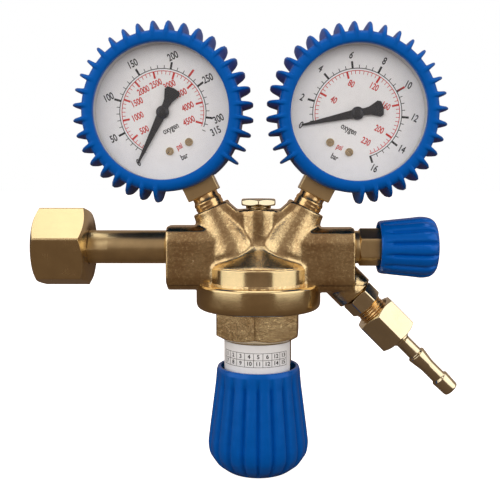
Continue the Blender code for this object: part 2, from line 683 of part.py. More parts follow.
def gauge_movement(side, frame, zero):
    """Bourdon tube, movement frame, sector, link, pinion arbor and pointer."""
    sweep = [radians(-113.5 - 248.5 * step / 20) for step in range(21)]
    path = [(BOURDON_R * cos(a), 2.0, BOURDON_R * sin(a)) for a in sweep]
    paint(place(wire(side + "_bourdon_tube", path, 1.6), frame), COPPER, 0.35)
    pivot = (0.0, SECTOR_PIVOT)
    outline = [(-7.0, -20.4), (7.0, -20.4), (7.0, 4.2), (-7.0, 4.2)]
    screw_holes = [circle((x, SCREW_Z), 1.2, 8) for x in (-SCREW_X, SCREW_X)]
    movement = plate(side + "_movement_frame", outline, 8.8, 9.6, [circle((0.0, 0.0), 0.9, 8), *screw_holes])
    place(movement, frame)
    back = plate(side + "_movement_back", outline, 4.4, 5.2, [circle((0.0, 0.0), 0.9, 8)])
    join(movement, place(back, frame))
    for index, (x, z) in enumerate(((-6.0, -19.4), (6.0, 3.2), (-6.0, 3.2), pivot)):
        pillar = rod("%s_pillar_%d" % (side, index), 0.8, 5.0, 9.0, 8)
        join(movement, place(pillar, frame, (x, 0.0, z), (90.0, 0.0, 0.0)))
    paint(movement, PALE_BRASS, 0.3)

    pinion_r = PINION_TEETH * MODULE / 2
    sector_r = SECTOR_TEETH * MODULE / 2
    teeth = gear_outline(PINION_TEETH, pinion_r, PINION_TEETH, 0.0, 0.5, 0.3, 0.3, 0.12)
    pinion = place(plate(side + "_pinion", teeth, 6.6, 8.2), frame, turn=(0.0, 180.0, 0.0))
    arbor = place(rod(side + "_arbor", 0.6, 4.7, 13.3, 8), frame, (0.0, 0.0, 0.0), (90.0, 0.0, 0.0))
    join(pinion, arbor)
    paint(pinion, BRASS, 0.3)

    step = 360.0 / SECTOR_TEETH
    blade = gear_outline(SECTOR_TEETH, sector_r, 8, -SECTOR_SWING - step / 2, 0.45, 0.3, 0.3, 0.13)
    tail_angle = radians(TAIL_ANGLE)
    arm = [(2.2 * cos(a), 2.2 * sin(a)) for a in (radians(150), radians(190), radians(230), radians(265))]
    sides = [radians(TAIL_ANGLE + turn) for turn in (-90, -30, 30, 90)]
    tip = (TAIL_LENGTH * cos(tail_angle), TAIL_LENGTH * sin(tail_angle))
    tail = [(tip[0] + 1.5 * cos(a), tip[1] + 1.5 * sin(a)) for a in sides]
    holes = [circle((0.0, 0.0), 1.2, 8), circle(tip, 0.8, 8)]
    sector = plate(side + "_sector", blade + arm + tail + [(2.3, 0.9)], 6.8, 8.0, holes)
    place(sector, frame, (0.0, 0.0, SECTOR_PIVOT))
    paint(sector, PALE_BRASS, 0.3)

    reach = Vector((BOURDON_TIP[0] - tip[0], BOURDON_TIP[1] - SECTOR_PIVOT - tip[1]))
    along = reach.normalized()
    across = Vector((-along.y, along.x)) * 0.9
    end = reach - along
    corners = [across - along * 0.9, end + across, end - across, -across - along * 0.9]
    joint = (tip[0], 0.0, SECTOR_PIVOT + tip[1])
    link = plate(side + "_link", [tuple(point) for point in corners][::-1], 5.6, 6.4)
    place(link, frame, joint)
    join(link, place(rod(side + "_link_pin", 0.5, 6.0, 8.2, 8), frame, joint, (90.0, 0.0, 0.0)))
    paint(link, STEEL, 0.3)

    needle = [(0.5, 24.4), (1.0, 12.0), (1.6, 2.6)]
    tail_half = [(2.9, 0.6), (2.9, -0.6), (1.3, -3.6), (1.6, -6.0), (3.4, -9.6), (2.9, -10.8)]
    right = needle + tail_half + [(0.0, -11.3)]
    outline = right + [(-x, z) for x, z in reversed(right[:-1])]
    pointer = plate(side + "_pointer", outline, 11.9, 12.6, [circle((0.0, 0.0), 0.95, 8)])
    place(pointer, frame, turn=(0.0, zero, 0.0))
    paint(pointer, BLACK, 0.4, 0.0)


def gauge_guard(side, frame):
    """Rubber guard with a lip over the window, fins and a notch for the shank."""
    profile = [
        (GUARD_WINDOW_R, GUARD_FRONT), (32.2, GUARD_FRONT), (GUARD_R, GUARD_FRONT - 2.0),
        (GUARD_R, GUARD_BACK), (CASE_R + GAP, GUARD_BACK), (CASE_R + GAP, CASE_FRONT + GAP),
        (GUARD_WINDOW_R, CASE_FRONT + GAP),
    ]
    guard = place(turned(side + "_guard", profile, FINE_SIDES), frame, turn=(90.0, 0.0, 0.0))
    outline = []
    first = 180.0 - FIN_STEP * (FIN_COUNT - 1) / 2
    for index in range(FIN_COUNT):
        middle = radians(first + 180.0 + FIN_STEP * index)
        for offset, reach in ((-1.9, 33.6), (-1.2, FIN_R), (1.2, FIN_R), (1.9, 33.6)):
            angle = middle + offset / reach
            outline.append((reach * sin(angle), reach * cos(angle)))
    for angle in (160.0, 180.0, 200.0):
        outline.append((33.6 * sin(radians(angle)), 33.6 * cos(radians(angle))))
    fins = plate(side + "_fins", outline, -9.0, 13.0, [circle((0.0, 0.0), 32.6, SIDES)])
    join(guard, place(fins, frame))
    notch = block(side + "_guard_notch", (-BLOCK - GAP, -BLOCK - GAP, -36.0), (BLOCK + GAP, 14.0, -24.0))
    cut(guard, place(notch, frame))
    paint(guard, BLUE, 0.5, 0.0)


def build():
    """Make every piece of the regulator."""
    axis = axis_frame("body_axis", BODY_X, 0.0, 0.0)
    inlet = axis_frame("inlet_axis", 0.0, 0.0, 90.0)
    cross = axis_frame("cross_axis", BODY_X, 0.0, 90.0)
    branch = axis_frame("branch_axis", BODY_X + BRANCH_X, 0.0, BRANCH_TILT)
    high = axis_frame("high_gauge_axis", BODY_X + HIGH_GAUGE[0], *HIGH_GAUGE[1:])
    low = axis_frame("low_gauge_axis", BODY_X + LOW_GAUGE[0], *LOW_GAUGE[1:])
    body_forging(axis, cross, branch, ((high, "high"), (low, "low")))
    bonnet(axis)
    serial_label(axis)
    clamped_discs(axis)
    valve_capsule(axis)
    valve_train(axis)
    springs(axis)
    relief_valve(axis)
    adjusting_group(axis)
    inlet_stem(inlet)
    inlet_small_parts(inlet)
    inlet_nut(inlet)
    outlet_valve(cross)
    hose_branch(branch)
    for side, frame, zero in (("high", high, HIGH_ZERO), ("low", low, LOW_ZERO)):
        gauge_socket(side, frame)
        gauge_case(side, frame)
        gauge_movement(side, frame, zero)
        gauge_guard(side, frame)


build()
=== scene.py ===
"""Looks of a cylinder pressure regulator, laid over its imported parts.

Shapes are given in millimetres along their own axis, with +Z along that axis, and their meshes
are stored in the row frame.  On a gauge the shape's +Z runs towards the front of the dial.
"""
from math import cos, exp, hypot, pi, radians, sin

import bmesh
import bpy
from bpy.props import FloatProperty, FloatVectorProperty, IntProperty, PointerProperty
from mathutils import Matrix, Vector


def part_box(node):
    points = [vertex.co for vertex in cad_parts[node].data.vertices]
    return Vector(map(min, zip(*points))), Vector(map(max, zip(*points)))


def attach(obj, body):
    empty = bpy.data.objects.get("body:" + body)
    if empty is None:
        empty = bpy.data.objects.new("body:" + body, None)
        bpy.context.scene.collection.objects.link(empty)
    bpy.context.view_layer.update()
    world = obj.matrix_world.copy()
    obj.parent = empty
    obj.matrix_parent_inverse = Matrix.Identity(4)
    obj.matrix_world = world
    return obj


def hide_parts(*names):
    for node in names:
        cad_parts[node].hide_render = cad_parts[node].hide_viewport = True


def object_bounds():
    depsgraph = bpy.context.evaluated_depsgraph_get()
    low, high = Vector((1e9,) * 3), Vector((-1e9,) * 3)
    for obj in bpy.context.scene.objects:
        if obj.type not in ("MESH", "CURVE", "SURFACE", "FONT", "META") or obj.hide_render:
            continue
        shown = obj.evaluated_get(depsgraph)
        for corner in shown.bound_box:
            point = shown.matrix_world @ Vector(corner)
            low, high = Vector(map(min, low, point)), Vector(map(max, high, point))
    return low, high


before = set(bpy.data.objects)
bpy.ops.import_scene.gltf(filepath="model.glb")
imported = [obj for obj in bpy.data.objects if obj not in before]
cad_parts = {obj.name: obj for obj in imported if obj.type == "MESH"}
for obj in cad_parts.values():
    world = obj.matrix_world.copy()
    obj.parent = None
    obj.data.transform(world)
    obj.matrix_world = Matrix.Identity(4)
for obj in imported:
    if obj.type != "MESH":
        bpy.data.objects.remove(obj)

bl_info = {
    "name": "Gas regulator",
    "version": (1, 0, 0),
    "blender": (4, 5, 0),
    "location": "View3D > Sidebar > Regulator",
    "description": "Builds the visible pieces of a two-gauge cylinder regulator",
    "category": "Add Mesh",
}

MM = 0.001
CAD_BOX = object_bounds()


def middle(node):
    """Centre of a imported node's box, in millimetres."""
    low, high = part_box(node)
    return (low + high) / 2 / MM


def axis(x, z, tilt):
    """Millimetre axes at a place, tilted from +Z about the row's Y."""
    turn = Matrix.Rotation(radians(tilt), 4, "Y")
    return Matrix.Translation((x * MM, 0.0, z * MM)) @ turn @ Matrix.Scale(MM, 4)


FACING = Matrix.Rotation(radians(90.0), 4, "X")
BODY_X = middle("adjusting_screw").x
GAUGE_TILTS = {"high": -25.57, "low": 27.2}
BRANCH_OFFSET = 22.8
BODY = axis(BODY_X, 0.0, 0.0)
INLET = axis(0.0, 0.0, 90.0)
CROSS = axis(BODY_X, 0.0, 90.0)
BRANCH = axis(BODY_X + BRANCH_OFFSET, 0.0, 135.0)
GAUGES = {
    side: axis(middle(side + "_dial").x, middle(side + "_dial").z, tilt)
    for side, tilt in GAUGE_TILTS.items()
}
ALONG_BODY = (0.0, 0.0, 1.0)
ALONG_CROSS = (1.0, 0.0, 0.0)
ALONG_BRANCH = (0.7071, 0.0, -0.7071)
DIAL_FACE = 10.9
PRINT_THICK = 0.03
FIGURE_WIDTH = 0.7
PSI_IN_BAR = 0.0689476


class RegulatorSizes(bpy.types.PropertyGroup):
    """Sizes that shape the visible pieces."""

    forging_grain: FloatProperty(
        name="Forging grain", description="Edge of the cells the forging is rebuilt from",
        default=0.00055, min=0.0003, unit="LENGTH", precision=5)
    forging_softness: IntProperty(
        name="Forging softness", description="Smoothing passes that form the forged fillets", default=16)
    knob_ribs: IntProperty(name="Knob ribs", description="Ribs round the adjusting knob", default=20)
    valve_ribs: IntProperty(name="Valve ribs", description="Ribs round the outlet knob", default=14)
    guard_fins: IntProperty(name="Guard fins", description="Fins round each gauge guard", default=31)
    rib_depth: FloatProperty(
        name="Rib depth", description="Depth of the valleys between knob ribs", default=0.0017, unit="LENGTH")


class RegulatorColours(bpy.types.PropertyGroup):
    """Base colours of the finishes."""

    brass: FloatVectorProperty(
        name="Brass", description="Machined brass", subtype="COLOR", default=(0.77, 0.60, 0.32))
    forged: FloatVectorProperty(
        name="Forged brass", description="Tumbled forging", subtype="COLOR", default=(0.73, 0.56, 0.30))
    pale: FloatVectorProperty(
        name="Pale brass", description="Plated small fittings", subtype="COLOR", default=(0.80, 0.70, 0.47))
    copper: FloatVectorProperty(
        name="Thread brass", description="Reddish cut threads", subtype="COLOR", default=(0.88, 0.60, 0.28))
    steel: FloatVectorProperty(
        name="Steel", description="Plated steel inside", subtype="COLOR", default=(0.60, 0.60, 0.60))
    plastic: FloatVectorProperty(
        name="Knob plastic", description="Blue moulded plastic", subtype="COLOR", default=(0.0, 0.10, 0.44))
    rubber: FloatVectorProperty(
        name="Guard rubber", description="Blue moulded rubber", subtype="COLOR", default=(0.0, 0.10, 0.43))
    dial: FloatVectorProperty(
        name="Dial", description="Printed dial ground", subtype="COLOR", default=(0.93, 0.94, 0.95))
    paper: FloatVectorProperty(
        name="Label", description="Label paper", subtype="COLOR", default=(0.93, 0.94, 0.94))
    black_ink: FloatVectorProperty(
        name="Black ink", description="Black print", subtype="COLOR", default=(0.02, 0.02, 0.022))
    red_ink: FloatVectorProperty(
        name="Red ink", description="Red print", subtype="COLOR", default=(0.62, 0.025, 0.02))
    floor: FloatVectorProperty(
        name="Floor", description="Studio floor", subtype="COLOR", default=(0.95, 0.95, 0.95))


# Finishes


class Signal:
    """A node output that can be used in arithmetic."""

    def __init__(self, nodes, socket):
        self.nodes = nodes
        self.socket = socket

    def _math(self, operation, first, second):
        return self.nodes.node("ShaderNodeMath", {"operation": operation}, {0: first, 1: second})

    def __add__(self, other):
        return self._math("ADD", self, other)

    def __radd__(self, other):
        return self._math("ADD", other, self)

    def __mul__(self, other):
        return self._math("MULTIPLY", self, other)


class Nodes:
    """A node tree and the one way nodes are added to it."""

    def __init__(self, tree):
        self.tree = tree

    def node(self, kind, settings=None, sockets=None, out=0):
        """Add a node: its settings first, then the values or links of its sockets."""
        node = self.tree.nodes.new(kind)
        for key, value in (settings or {}).items():
            if key == "stops":
                while len(node.color_ramp.elements) < len(value):
                    node.color_ramp.elements.new(1.0)
                for stop, (position, shade) in zip(node.color_ramp.elements, value):
                    stop.position = position
                    stop.color = (shade, shade, shade, 1.0)
            else:
                setattr(node, key, value)
        for key, value in (sockets or {}).items():
            if isinstance(value, Signal):
                self.tree.links.new(value.socket, node.inputs[key])
            else:
                node.inputs[key].default_value = value
        return Signal(self, node.outputs[out])


class Finish(Nodes):
    """One material and the nodes that vary it, with places read in millimetres."""

    def __init__(self, name, **constants):
        self.material = bpy.data.materials.new(name)
        self.material.use_nodes = True
        super().__init__(self.material.node_tree)
        self.shader = self.tree.nodes["Principled BSDF"]
        for socket, value in constants.items():
            self.shader.inputs[socket.replace("_", " ")].default_value = value
        place = self.node("ShaderNodeTexCoord", out="Object")
        self.place = self.node(
            "ShaderNodeVectorMath", {"operation": "SCALE"}, {0: place, "Scale": 1.0 / MM})

    def noise(self, scale, detail=2.0, roughness=0.5, stretch=(1.0, 1.0, 1.0)):
        """Noise with a number of cells to the millimetre."""
        place = self.node("ShaderNodeVectorMath", {"operation": "MULTIPLY"}, {0: self.place, 1: stretch})
        return self.node(
            "ShaderNodeTexNoise", None,
            {"Vector": place, "Scale": scale, "Detail": detail, "Roughness": roughness})

    def lines(self, along, scale, detail=3.0):
        """Fine lines that run round an axis and vary only along it."""
        reach = self.node(
            "ShaderNodeVectorMath", {"operation": "DOT_PRODUCT"}, {0: self.place, 1: along}, out="Value")
        return self.node(
            "ShaderNodeTexNoise", {"noise_dimensions": "1D"},
            {"W": reach, "Scale": scale, "Detail": detail})

    def ramp(self, signal, *stops):
        """Grey levels at positions along a signal."""
        return self.node("ShaderNodeValToRGB", {"stops": stops}, {0: signal})

    def mix(self, mask, first, second):
        """Colour between two colours."""
        return self.node(
            "ShaderNodeMix", {"data_type": "RGBA"},
            {0: mask, 6: shade(first), 7: shade(second)}, out=2)

    def worn(self):
        """Mask of raised edges, from how sharply the surface turns."""
        pointed = self.node("ShaderNodeNewGeometry", out="Pointiness")
        return self.ramp(pointed, (0.50, 0.0), (0.56, 1.0))

    def bump(self, height, depth, strength=1.0):
        """Relief of a depth in millimetres."""
        return self.node(
            "ShaderNodeBump", None, {"Height": height, "Distance": depth * MM, "Strength": strength})

    def feed(self, **sockets):
        """Link signals to the shader's sockets."""
        for name, signal in sockets.items():
            self.tree.links.new(signal.socket, self.shader.inputs[name.replace("_", " ")])
        return self.material


def shade(value):
    """Colour with alpha, or a signal as it is."""
    return value if isinstance(value, Signal) else (*value, 1.0)


def toned(colour, amount):
    """Colour made darker or lighter by a factor."""
    return tuple(min(channel * amount, 1.0) for channel in colour)


def machined(name, colour, along, roughness=0.16):
    """Turned metal: faint lathe lines, smudges and brighter worn edges."""
    finish = Finish(name, Metallic=1.0)
    lathe = finish.lines(along, 5.0)
    smudge = finish.noise(0.16, 4.0, 0.6)
    film = finish.mix(finish.ramp(smudge, (0.38, 0.0), (0.66, 1.0)), toned(colour, 0.88), colour)
    tone = finish.mix(finish.worn() * 0.5, film, toned(colour, 1.2))
    rough = smudge * 0.12 + lathe * 0.05 + (roughness - 0.08)
    scratches = finish.noise(0.8, 3.0, 0.6, (1.0, 1.0, 6.0))
    relief = finish.bump(lathe * 0.6 + scratches * 0.4, 0.018, 0.5)
    return finish.feed(Base_Color=tone, Roughness=rough, Normal=relief)


def forged(name, colour):
    """Tumbled forging: bright pits and dents over slow colour changes."""
    finish = Finish(name, Metallic=1.0)
    dents = finish.noise(0.36, 4.0, 0.7)
    grain = finish.noise(0.8, 5.0, 0.8)
    cloud = finish.noise(0.07, 3.0, 0.6)
    brown = (colour[0] * 0.8, colour[1] * 0.72, colour[2] * 0.66)
    ground = finish.mix(finish.ramp(cloud, (0.38, 0.0), (0.62, 1.0)), brown, colour)
    grazed = finish.ramp(grain, (0.53, 0.0), (0.6, 1.0))
    pitted = finish.ramp(grain, (0.38, 1.0), (0.45, 0.0))
    tone = finish.mix(grazed * 0.55, ground, toned(colour, 1.45))
    tone = finish.mix(pitted * 0.3, tone, toned(brown, 0.7))
    rough = 0.09 + grain * 0.2 + cloud * 0.08
    relief = finish.bump(dents + grain * 0.6, 0.11, 1.0)
    return finish.feed(Base_Color=tone, Roughness=rough, Normal=relief)


def moulded(name, colour, roughness, grain, coat, shine=0.35):
    """Moulded plastic or rubber: soft mottling, fine texture and rubbed edges."""
    tint = tuple(0.12 + 0.88 * channel / max(colour) for channel in colour)
    finish = Finish(
        name, Coat_Weight=coat, Coat_Roughness=0.12, Specular_IOR_Level=shine, Specular_Tint=(*tint, 1.0))
    mottle = finish.noise(0.25, 3.0)
    texture = finish.noise(grain, 2.0)
    ground = finish.mix(mottle, toned(colour, 0.9), toned(colour, 1.1))
    paler = tuple(channel * 1.2 + 0.02 for channel in colour)
    tone = finish.mix(finish.worn() * 0.12, ground, paler)
    rough = mottle * 0.14 + (roughness - 0.07)
    relief = finish.bump(texture, 0.014, 0.4)
    return finish.feed(Base_Color=tone, Roughness=rough, Normal=relief)


def printed(name, colour, roughness):
    """Ink, paint or paper: slight unevenness in tone and gloss."""
    finish = Finish(name, Specular_IOR_Level=0.4)
    mottle = finish.noise(0.35, 4.0, 0.6)
    fibre = finish.noise(4.0, 2.0)
    tone = finish.mix(mottle, toned(colour, 0.93), toned(colour, 1.04))
    rough = fibre * 0.1 + (roughness - 0.05)
    return finish.feed(Base_Color=tone, Roughness=rough, Normal=finish.bump(fibre, 0.008, 0.4))


def clear(name):
    """Thin clear plastic that shows more of its gloss at a slant."""
    finish = Finish(name, Base_Color=(0.92, 0.95, 0.96, 1.0), Roughness=0.03)
    slant = finish.node("ShaderNodeLayerWeight", None, {"Blend": 0.35}, out="Facing")
    haze = finish.noise(0.2, 3.0)
    return finish.feed(Alpha=slant * slant * 0.4 + haze * 0.015 + 0.012)


def make_finishes(colours):
    """Every finish, by the name the pieces use."""
    steel = tuple(colours.steel)
    return {
        "forged": forged("forged_brass", tuple(colours.forged)),
        "turned_body": machined("turned_brass_upright", tuple(colours.brass), ALONG_BODY),
        "turned_cross": machined("turned_brass_level", tuple(colours.brass), ALONG_CROSS, 0.3),
        "nut": machined("nut_brass", toned(colours.brass, 0.97), ALONG_CROSS, 0.24),
        "pale_branch": machined("pale_brass_sloping", tuple(colours.pale), ALONG_BRANCH, 0.15),
        "pale": machined("pale_brass_upright", tuple(colours.pale), ALONG_BODY, 0.16),
        "copper": machined("thread_brass", tuple(colours.copper), ALONG_BRANCH, 0.22),
        "steel": machined("plated_steel", steel, ALONG_BODY, 0.3),
        "plastic": moulded("blue_plastic", tuple(colours.plastic), 0.2, 1.6, 0.0, 1.0),
        "rubber": moulded("blue_rubber", tuple(colours.rubber), 0.38, 2.2, 0.0, 0.4),
        "black_rubber": moulded("black_rubber", (0.025, 0.025, 0.027), 0.6, 2.0, 0.0),
        "enamel": moulded("black_enamel", (0.012, 0.012, 0.014), 0.32, 1.0, 0.3),
        "dial": printed("dial_white", tuple(colours.dial), 0.4),
        # The ring on the case's inner wall is the dial white darkened to six tenths: painted shade, not a
        # grey part.
        "shaded_case_wall": printed("case_wall_painted_shade", toned(colours.dial, 0.6), 0.45),
        "paper": printed("label_paper", tuple(colours.paper), 0.5),
        "black": printed("black_print", tuple(colours.black_ink), 0.45),
        "red": printed("red_print", tuple(colours.red_ink), 0.45),
        "clear": clear("clear_window"),
    }


# Shapes


def rounded(profile, radius, steps=3):
    """Profile with its corners rounded; a third number on a point is its own radius."""
    closed = profile[0][0] > 0.0
    last = len(profile) - 1
    points = []
    for index, point in enumerate(profile):
        here = Vector(point[:2])
        reach = point[2] if len(point) > 2 else radius
        if reach == 0.0 or (not closed and index in (0, last)):
            points.append(tuple(here))
            continue
        back = Vector(profile[index - 1][:2]) - here
        ahead = Vector(profile[(index + 1) % (last + 1)][:2]) - here
        reach = min(reach, back.length * 0.45, ahead.length * 0.45)
        start = here + back.normalized() * reach
        end = here + ahead.normalized() * reach
        for step in range(steps + 1):
            share = step / steps
            points.append(tuple(start.lerp(here, share).lerp(here.lerp(end, share), share)))
    return points


def threads(radius, start, end, pitch, depth):
    """Profile points of V-shaped ridges between two heights."""
    count = max(int(abs(end - start) / pitch), 1)
    step = (end - start) / count
    points = []
    for index in range(count):
        foot = start + step * index
        crest = ((radius, foot + step * 0.42, 0.0), (radius, foot + step * 0.58, 0.0))
        points += [(radius - depth, foot, 0.0), *crest]
    return points + [(radius - depth, end, 0.0)]


def spread(count):
    """Angles evenly round a circle."""
    return [2 * pi * index / count for index in range(count)]


def hexagon(across, low, high, bore, turn=0.0, coned=(True, True), land=0.35):
    """Profile, angles and warp of a hexagon whose corners are turned off at its ends."""
    half = across / 2
    face = half - land
    corner = half / cos(pi / 6) - 0.16
    outer = half + 1.0
    start = radians(turn)
    profile = [(bore, low), (face, low), (outer, low), (outer, high), (face, high), (bore, high)]
    offsets = (0.0, 1.0, 3.0, 8.0, 15.0, 22.0, 30.0, 38.0, 45.0, 52.0, 57.0, 59.0)
    angles = [start + radians(60.0 * side + offset) for side in range(6) for offset in offsets]

    def warp(radius, height, angle):
        if radius <= face:
            return radius, height
        from_flat = (angle - start) % (pi / 3) - pi / 6
        reach = min(half / cos(from_flat), corner)
        drop = (reach - face) * 0.58
        if height == low:
            return reach, low + (drop if coned[0] else 0.0)
        return reach, high - (drop if coned[1] else 0.0)

    return {"profile": profile, "angles": angles, "warp": warp}


class Shape:
    """Closed shells in millimetres that become one piece."""

    def __init__(self):
        self.mesh = bmesh.new()

    def turn(self, profile, angles=None, warp=None, finish=0):
        """Turn a profile of (radius, height) round Z; a warp may change it by angle."""
        angles = angles or spread(72)
        rows = []
        for point in profile:
            if point[0] == 0.0:
                rows.append([self.mesh.verts.new((0.0, 0.0, point[1]))])
                continue
            row = []
            for angle in angles:
                radius, height = warp(point[0], point[1], angle) if warp else point[:2]
                corner = Vector((radius * cos(angle), radius * sin(angle), height))
                row.append(self.mesh.verts.new(corner))
            rows.append(row)
        pairs = list(zip(rows, rows[1:]))
        if profile[0][0] > 0.0:
            pairs.append((rows[-1], rows[0]))
        for upper, lower in pairs:
            self._skin(upper, lower, len(angles), finish)
        return self

    def _skin(self, upper, lower, count, finish):
        for index in range(count):
            after = (index + 1) % count
            if len(upper) == 1 and len(lower) == 1:
                return
            if len(upper) == 1:
                corners = (upper[0], lower[index], lower[after])
            elif len(lower) == 1:
                corners = (upper[index], lower[0], upper[after])
            else:
                corners = (upper[index], lower[index], lower[after], upper[after])
            self.mesh.faces.new(corners).material_index = finish

    def prism(self, outline, low, high, finish=0, place=Matrix.Identity(4)):
        """Flat outline in XY carried from one height to another."""
        ends = []
        for height in (low, high):
            ends.append([self.mesh.verts.new(place @ Vector((x, y, height))) for x, y in outline])
        count = len(outline)
        self.mesh.faces.new(ends[0][::-1]).material_index = finish
        self.mesh.faces.new(ends[1]).material_index = finish
        for index in range(count):
            after = (index + 1) % count
            corners = (ends[0][index], ends[0][after], ends[1][after], ends[1][index])
            self.mesh.faces.new(corners).material_index = finish
        return self

    def letters(self, text, size, low, thickness, place, finish=0):
        """Raised print centred on a place in XY."""
        curve = bpy.data.curves.new(text, "FONT")
        curve.body = text
        curve.size = size
        curve.align_x = "CENTER"
        curve.align_y = "CENTER"
        curve.extrude = thickness / 2
        curve.bevel_depth = size * 0.022
        curve.bevel_resolution = 0
        source = bpy.data.objects.new(text, curve)
        bpy.context.scene.collection.objects.link(source)
        bpy.context.view_layer.update()
        flat = bpy.data.meshes.new_from_object(source.evaluated_get(bpy.context.evaluated_depsgraph_get()))
        flat.transform(place @ Matrix.Translation((0.0, 0.0, low + thickness / 2)))
        for face in flat.polygons:
            face.material_index = finish
        self.mesh.from_mesh(flat)
        bpy.data.objects.remove(source)
        bpy.data.curves.remove(curve)
        bpy.data.meshes.remove(flat)
        return self

    def piece(self, name, place, body, looks, slot, nodes=(), sharp=38.0, edge=0.0, bend=None):
        """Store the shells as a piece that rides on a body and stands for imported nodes."""
        if bend:
            for vertex in self.mesh.verts:
                vertex.co = bend(vertex.co)
        bmesh.ops.recalc_face_normals(self.mesh, faces=self.mesh.faces)
        bmesh.ops.transform(self.mesh, matrix=place, verts=self.mesh.verts)
        mesh = bpy.data.meshes.new(name)
        self.mesh.to_mesh(mesh)
        self.mesh.free()
        return settle(name, mesh, body, looks, nodes, sharp, edge)


def settle(name, mesh, body, looks, nodes=(), sharp=38.0, edge=0.0):
    """Link a mesh as a piece with its finishes, its body and the nodes it stands for."""
    piece = bpy.data.objects.new(name, mesh)
    bpy.context.scene.collection.objects.link(piece)
    for look in looks:
        mesh.materials.append(FINISHES[look])
    mesh.shade_smooth()
    mesh.set_sharp_from_angle(angle=radians(sharp))
    if edge:
        bevel = piece.modifiers.new("edges", "BEVEL")
        bevel.width = edge * MM
        bevel.segments = 2
        bevel.limit_method = "ANGLE"
        bevel.angle_limit = radians(sharp)
        bevel.harden_normals = True
    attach(piece, body)
    if nodes:
        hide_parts(*nodes)
    return piece


FINISHES = {}


def applied(name, mesh, *modifiers):
    """Mesh after a chain of modifiers, each a type and its settings."""
    piece = bpy.data.objects.new(name, mesh)
    bpy.context.scene.collection.objects.link(piece)
    for kind, settings in modifiers:
        step = piece.modifiers.new(kind.lower(), kind)
        for key, value in settings.items():
            setattr(step, key, value)
    bpy.context.view_layer.update()
    result = bpy.data.meshes.new_from_object(piece.evaluated_get(bpy.context.evaluated_depsgraph_get()))
    bpy.data.objects.remove(piece)
    return result


def smooth_step(value, low, high):
    """Ease from 0 at low to 1 at high."""
    share = min(max((value - low) / (high - low), 0.0), 1.0)
    return share * share * (3.0 - 2.0 * share)


# Body

BAND_TOP = -8.1
FLANGE_TOP = -16.0
FLANGE_END = -27.5
BAND_R = 23.35
FLANGE_R = 28.0


def forging_weight(x, y, z):
    """How far a place on the forging is rounded: little on machined ends, fully elsewhere."""
    radius = hypot(x, y)
    beside = smooth_step(abs(y), 10.5, 12.0) + smooth_step(18.5 - abs(x), 0.0, 2.0)
    drum = (1.0 - smooth_step(z, -8.6, -7.2)) * min(beside, 1.0)
    flange = 1.0 - smooth_step(z, -16.8, -15.4)
    ends = smooth_step(abs(x), 39.8, 41.0)
    return 1.0 - 0.93 * max(drum, flange, ends) if radius > 17.0 else 1.0 - 0.93 * flange


class REGULATOR_OT_body(bpy.types.Operator):
    """Forged body with its soft fillets, and the turned band and flange below it"""

    bl_idname = "regulator.body"
    bl_label = "Forged body"

    def execute(self, context):
        sizes = context.scene.regulator_sizes
        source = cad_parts["body_forging"].data.copy()
        grown = applied(
            "forging", source,
            ("REMESH", {"mode": "VOXEL", "voxel_size": sizes.forging_grain, "adaptivity": 0.0}))
        holder = bpy.data.objects.new("forging_weights", grown)
        context.scene.collection.objects.link(holder)
        group = holder.vertex_groups.new(name="soft")
        for vertex in grown.vertices:
            x, y, z = vertex.co.x / MM - BODY_X, vertex.co.y / MM, vertex.co.z / MM
            group.add([vertex.index], forging_weight(x, y, z), "REPLACE")
        soft = holder.modifiers.new("soft", "SMOOTH")
        soft.factor = 0.7
        soft.iterations = sizes.forging_softness
        soft.vertex_group = "soft"
        even = holder.modifiers.new("even", "SMOOTH")
        even.factor = 0.5
        even.iterations = 3
        context.view_layer.update()
        graph = context.evaluated_depsgraph_get()
        mesh = bpy.data.meshes.new_from_object(holder.evaluated_get(graph))
        bpy.data.objects.remove(holder)
        for vertex in mesh.vertices:
            x, y, z = vertex.co.x / MM - BODY_X, vertex.co.y / MM, vertex.co.z / MM
            radius = hypot(x, y)
            if z < -15.2 and radius > 23.6:
                inward = min(0.35, radius - 23.6)
                vertex.co.x -= x / radius * inward * MM
                vertex.co.y -= y / radius * inward * MM
            if z < -27.0:
                vertex.co.z = -27.0 * MM
            if -16.6 < z < -15.2 and radius > 23.6:
                vertex.co.z = min(vertex.co.z, -16.3 * MM)
        mesh.materials.clear()
        settle("forged_body", mesh, "root", ["forged"], ["body_forging"], sharp=80.0)
        band = rounded([
            (21.6, BAND_TOP), (22.9, BAND_TOP, 0.3), (BAND_R, BAND_TOP - 0.5, 0.4),
            (BAND_R, FLANGE_TOP - 0.05, 0.35), (27.2, FLANGE_TOP, 0.2), (FLANGE_R, FLANGE_TOP - 0.8, 0.5),
            (FLANGE_R, -25.0, 1.0), (27.5, -26.6, 0.9), (26.2, FLANGE_END, 0.6), (24.1, FLANGE_END, 0.1),
            (24.1, -20.0, 0.0), (21.6, -19.0, 0.0),
        ], 0.1, 4)
        Shape().turn(band, spread(144)).piece(
            "drum_flange", BODY, "root", ["turned_body"], "turned_brass")
        return {"FINISHED"}


# Bonnet and label

RULE_HALF = 0.09


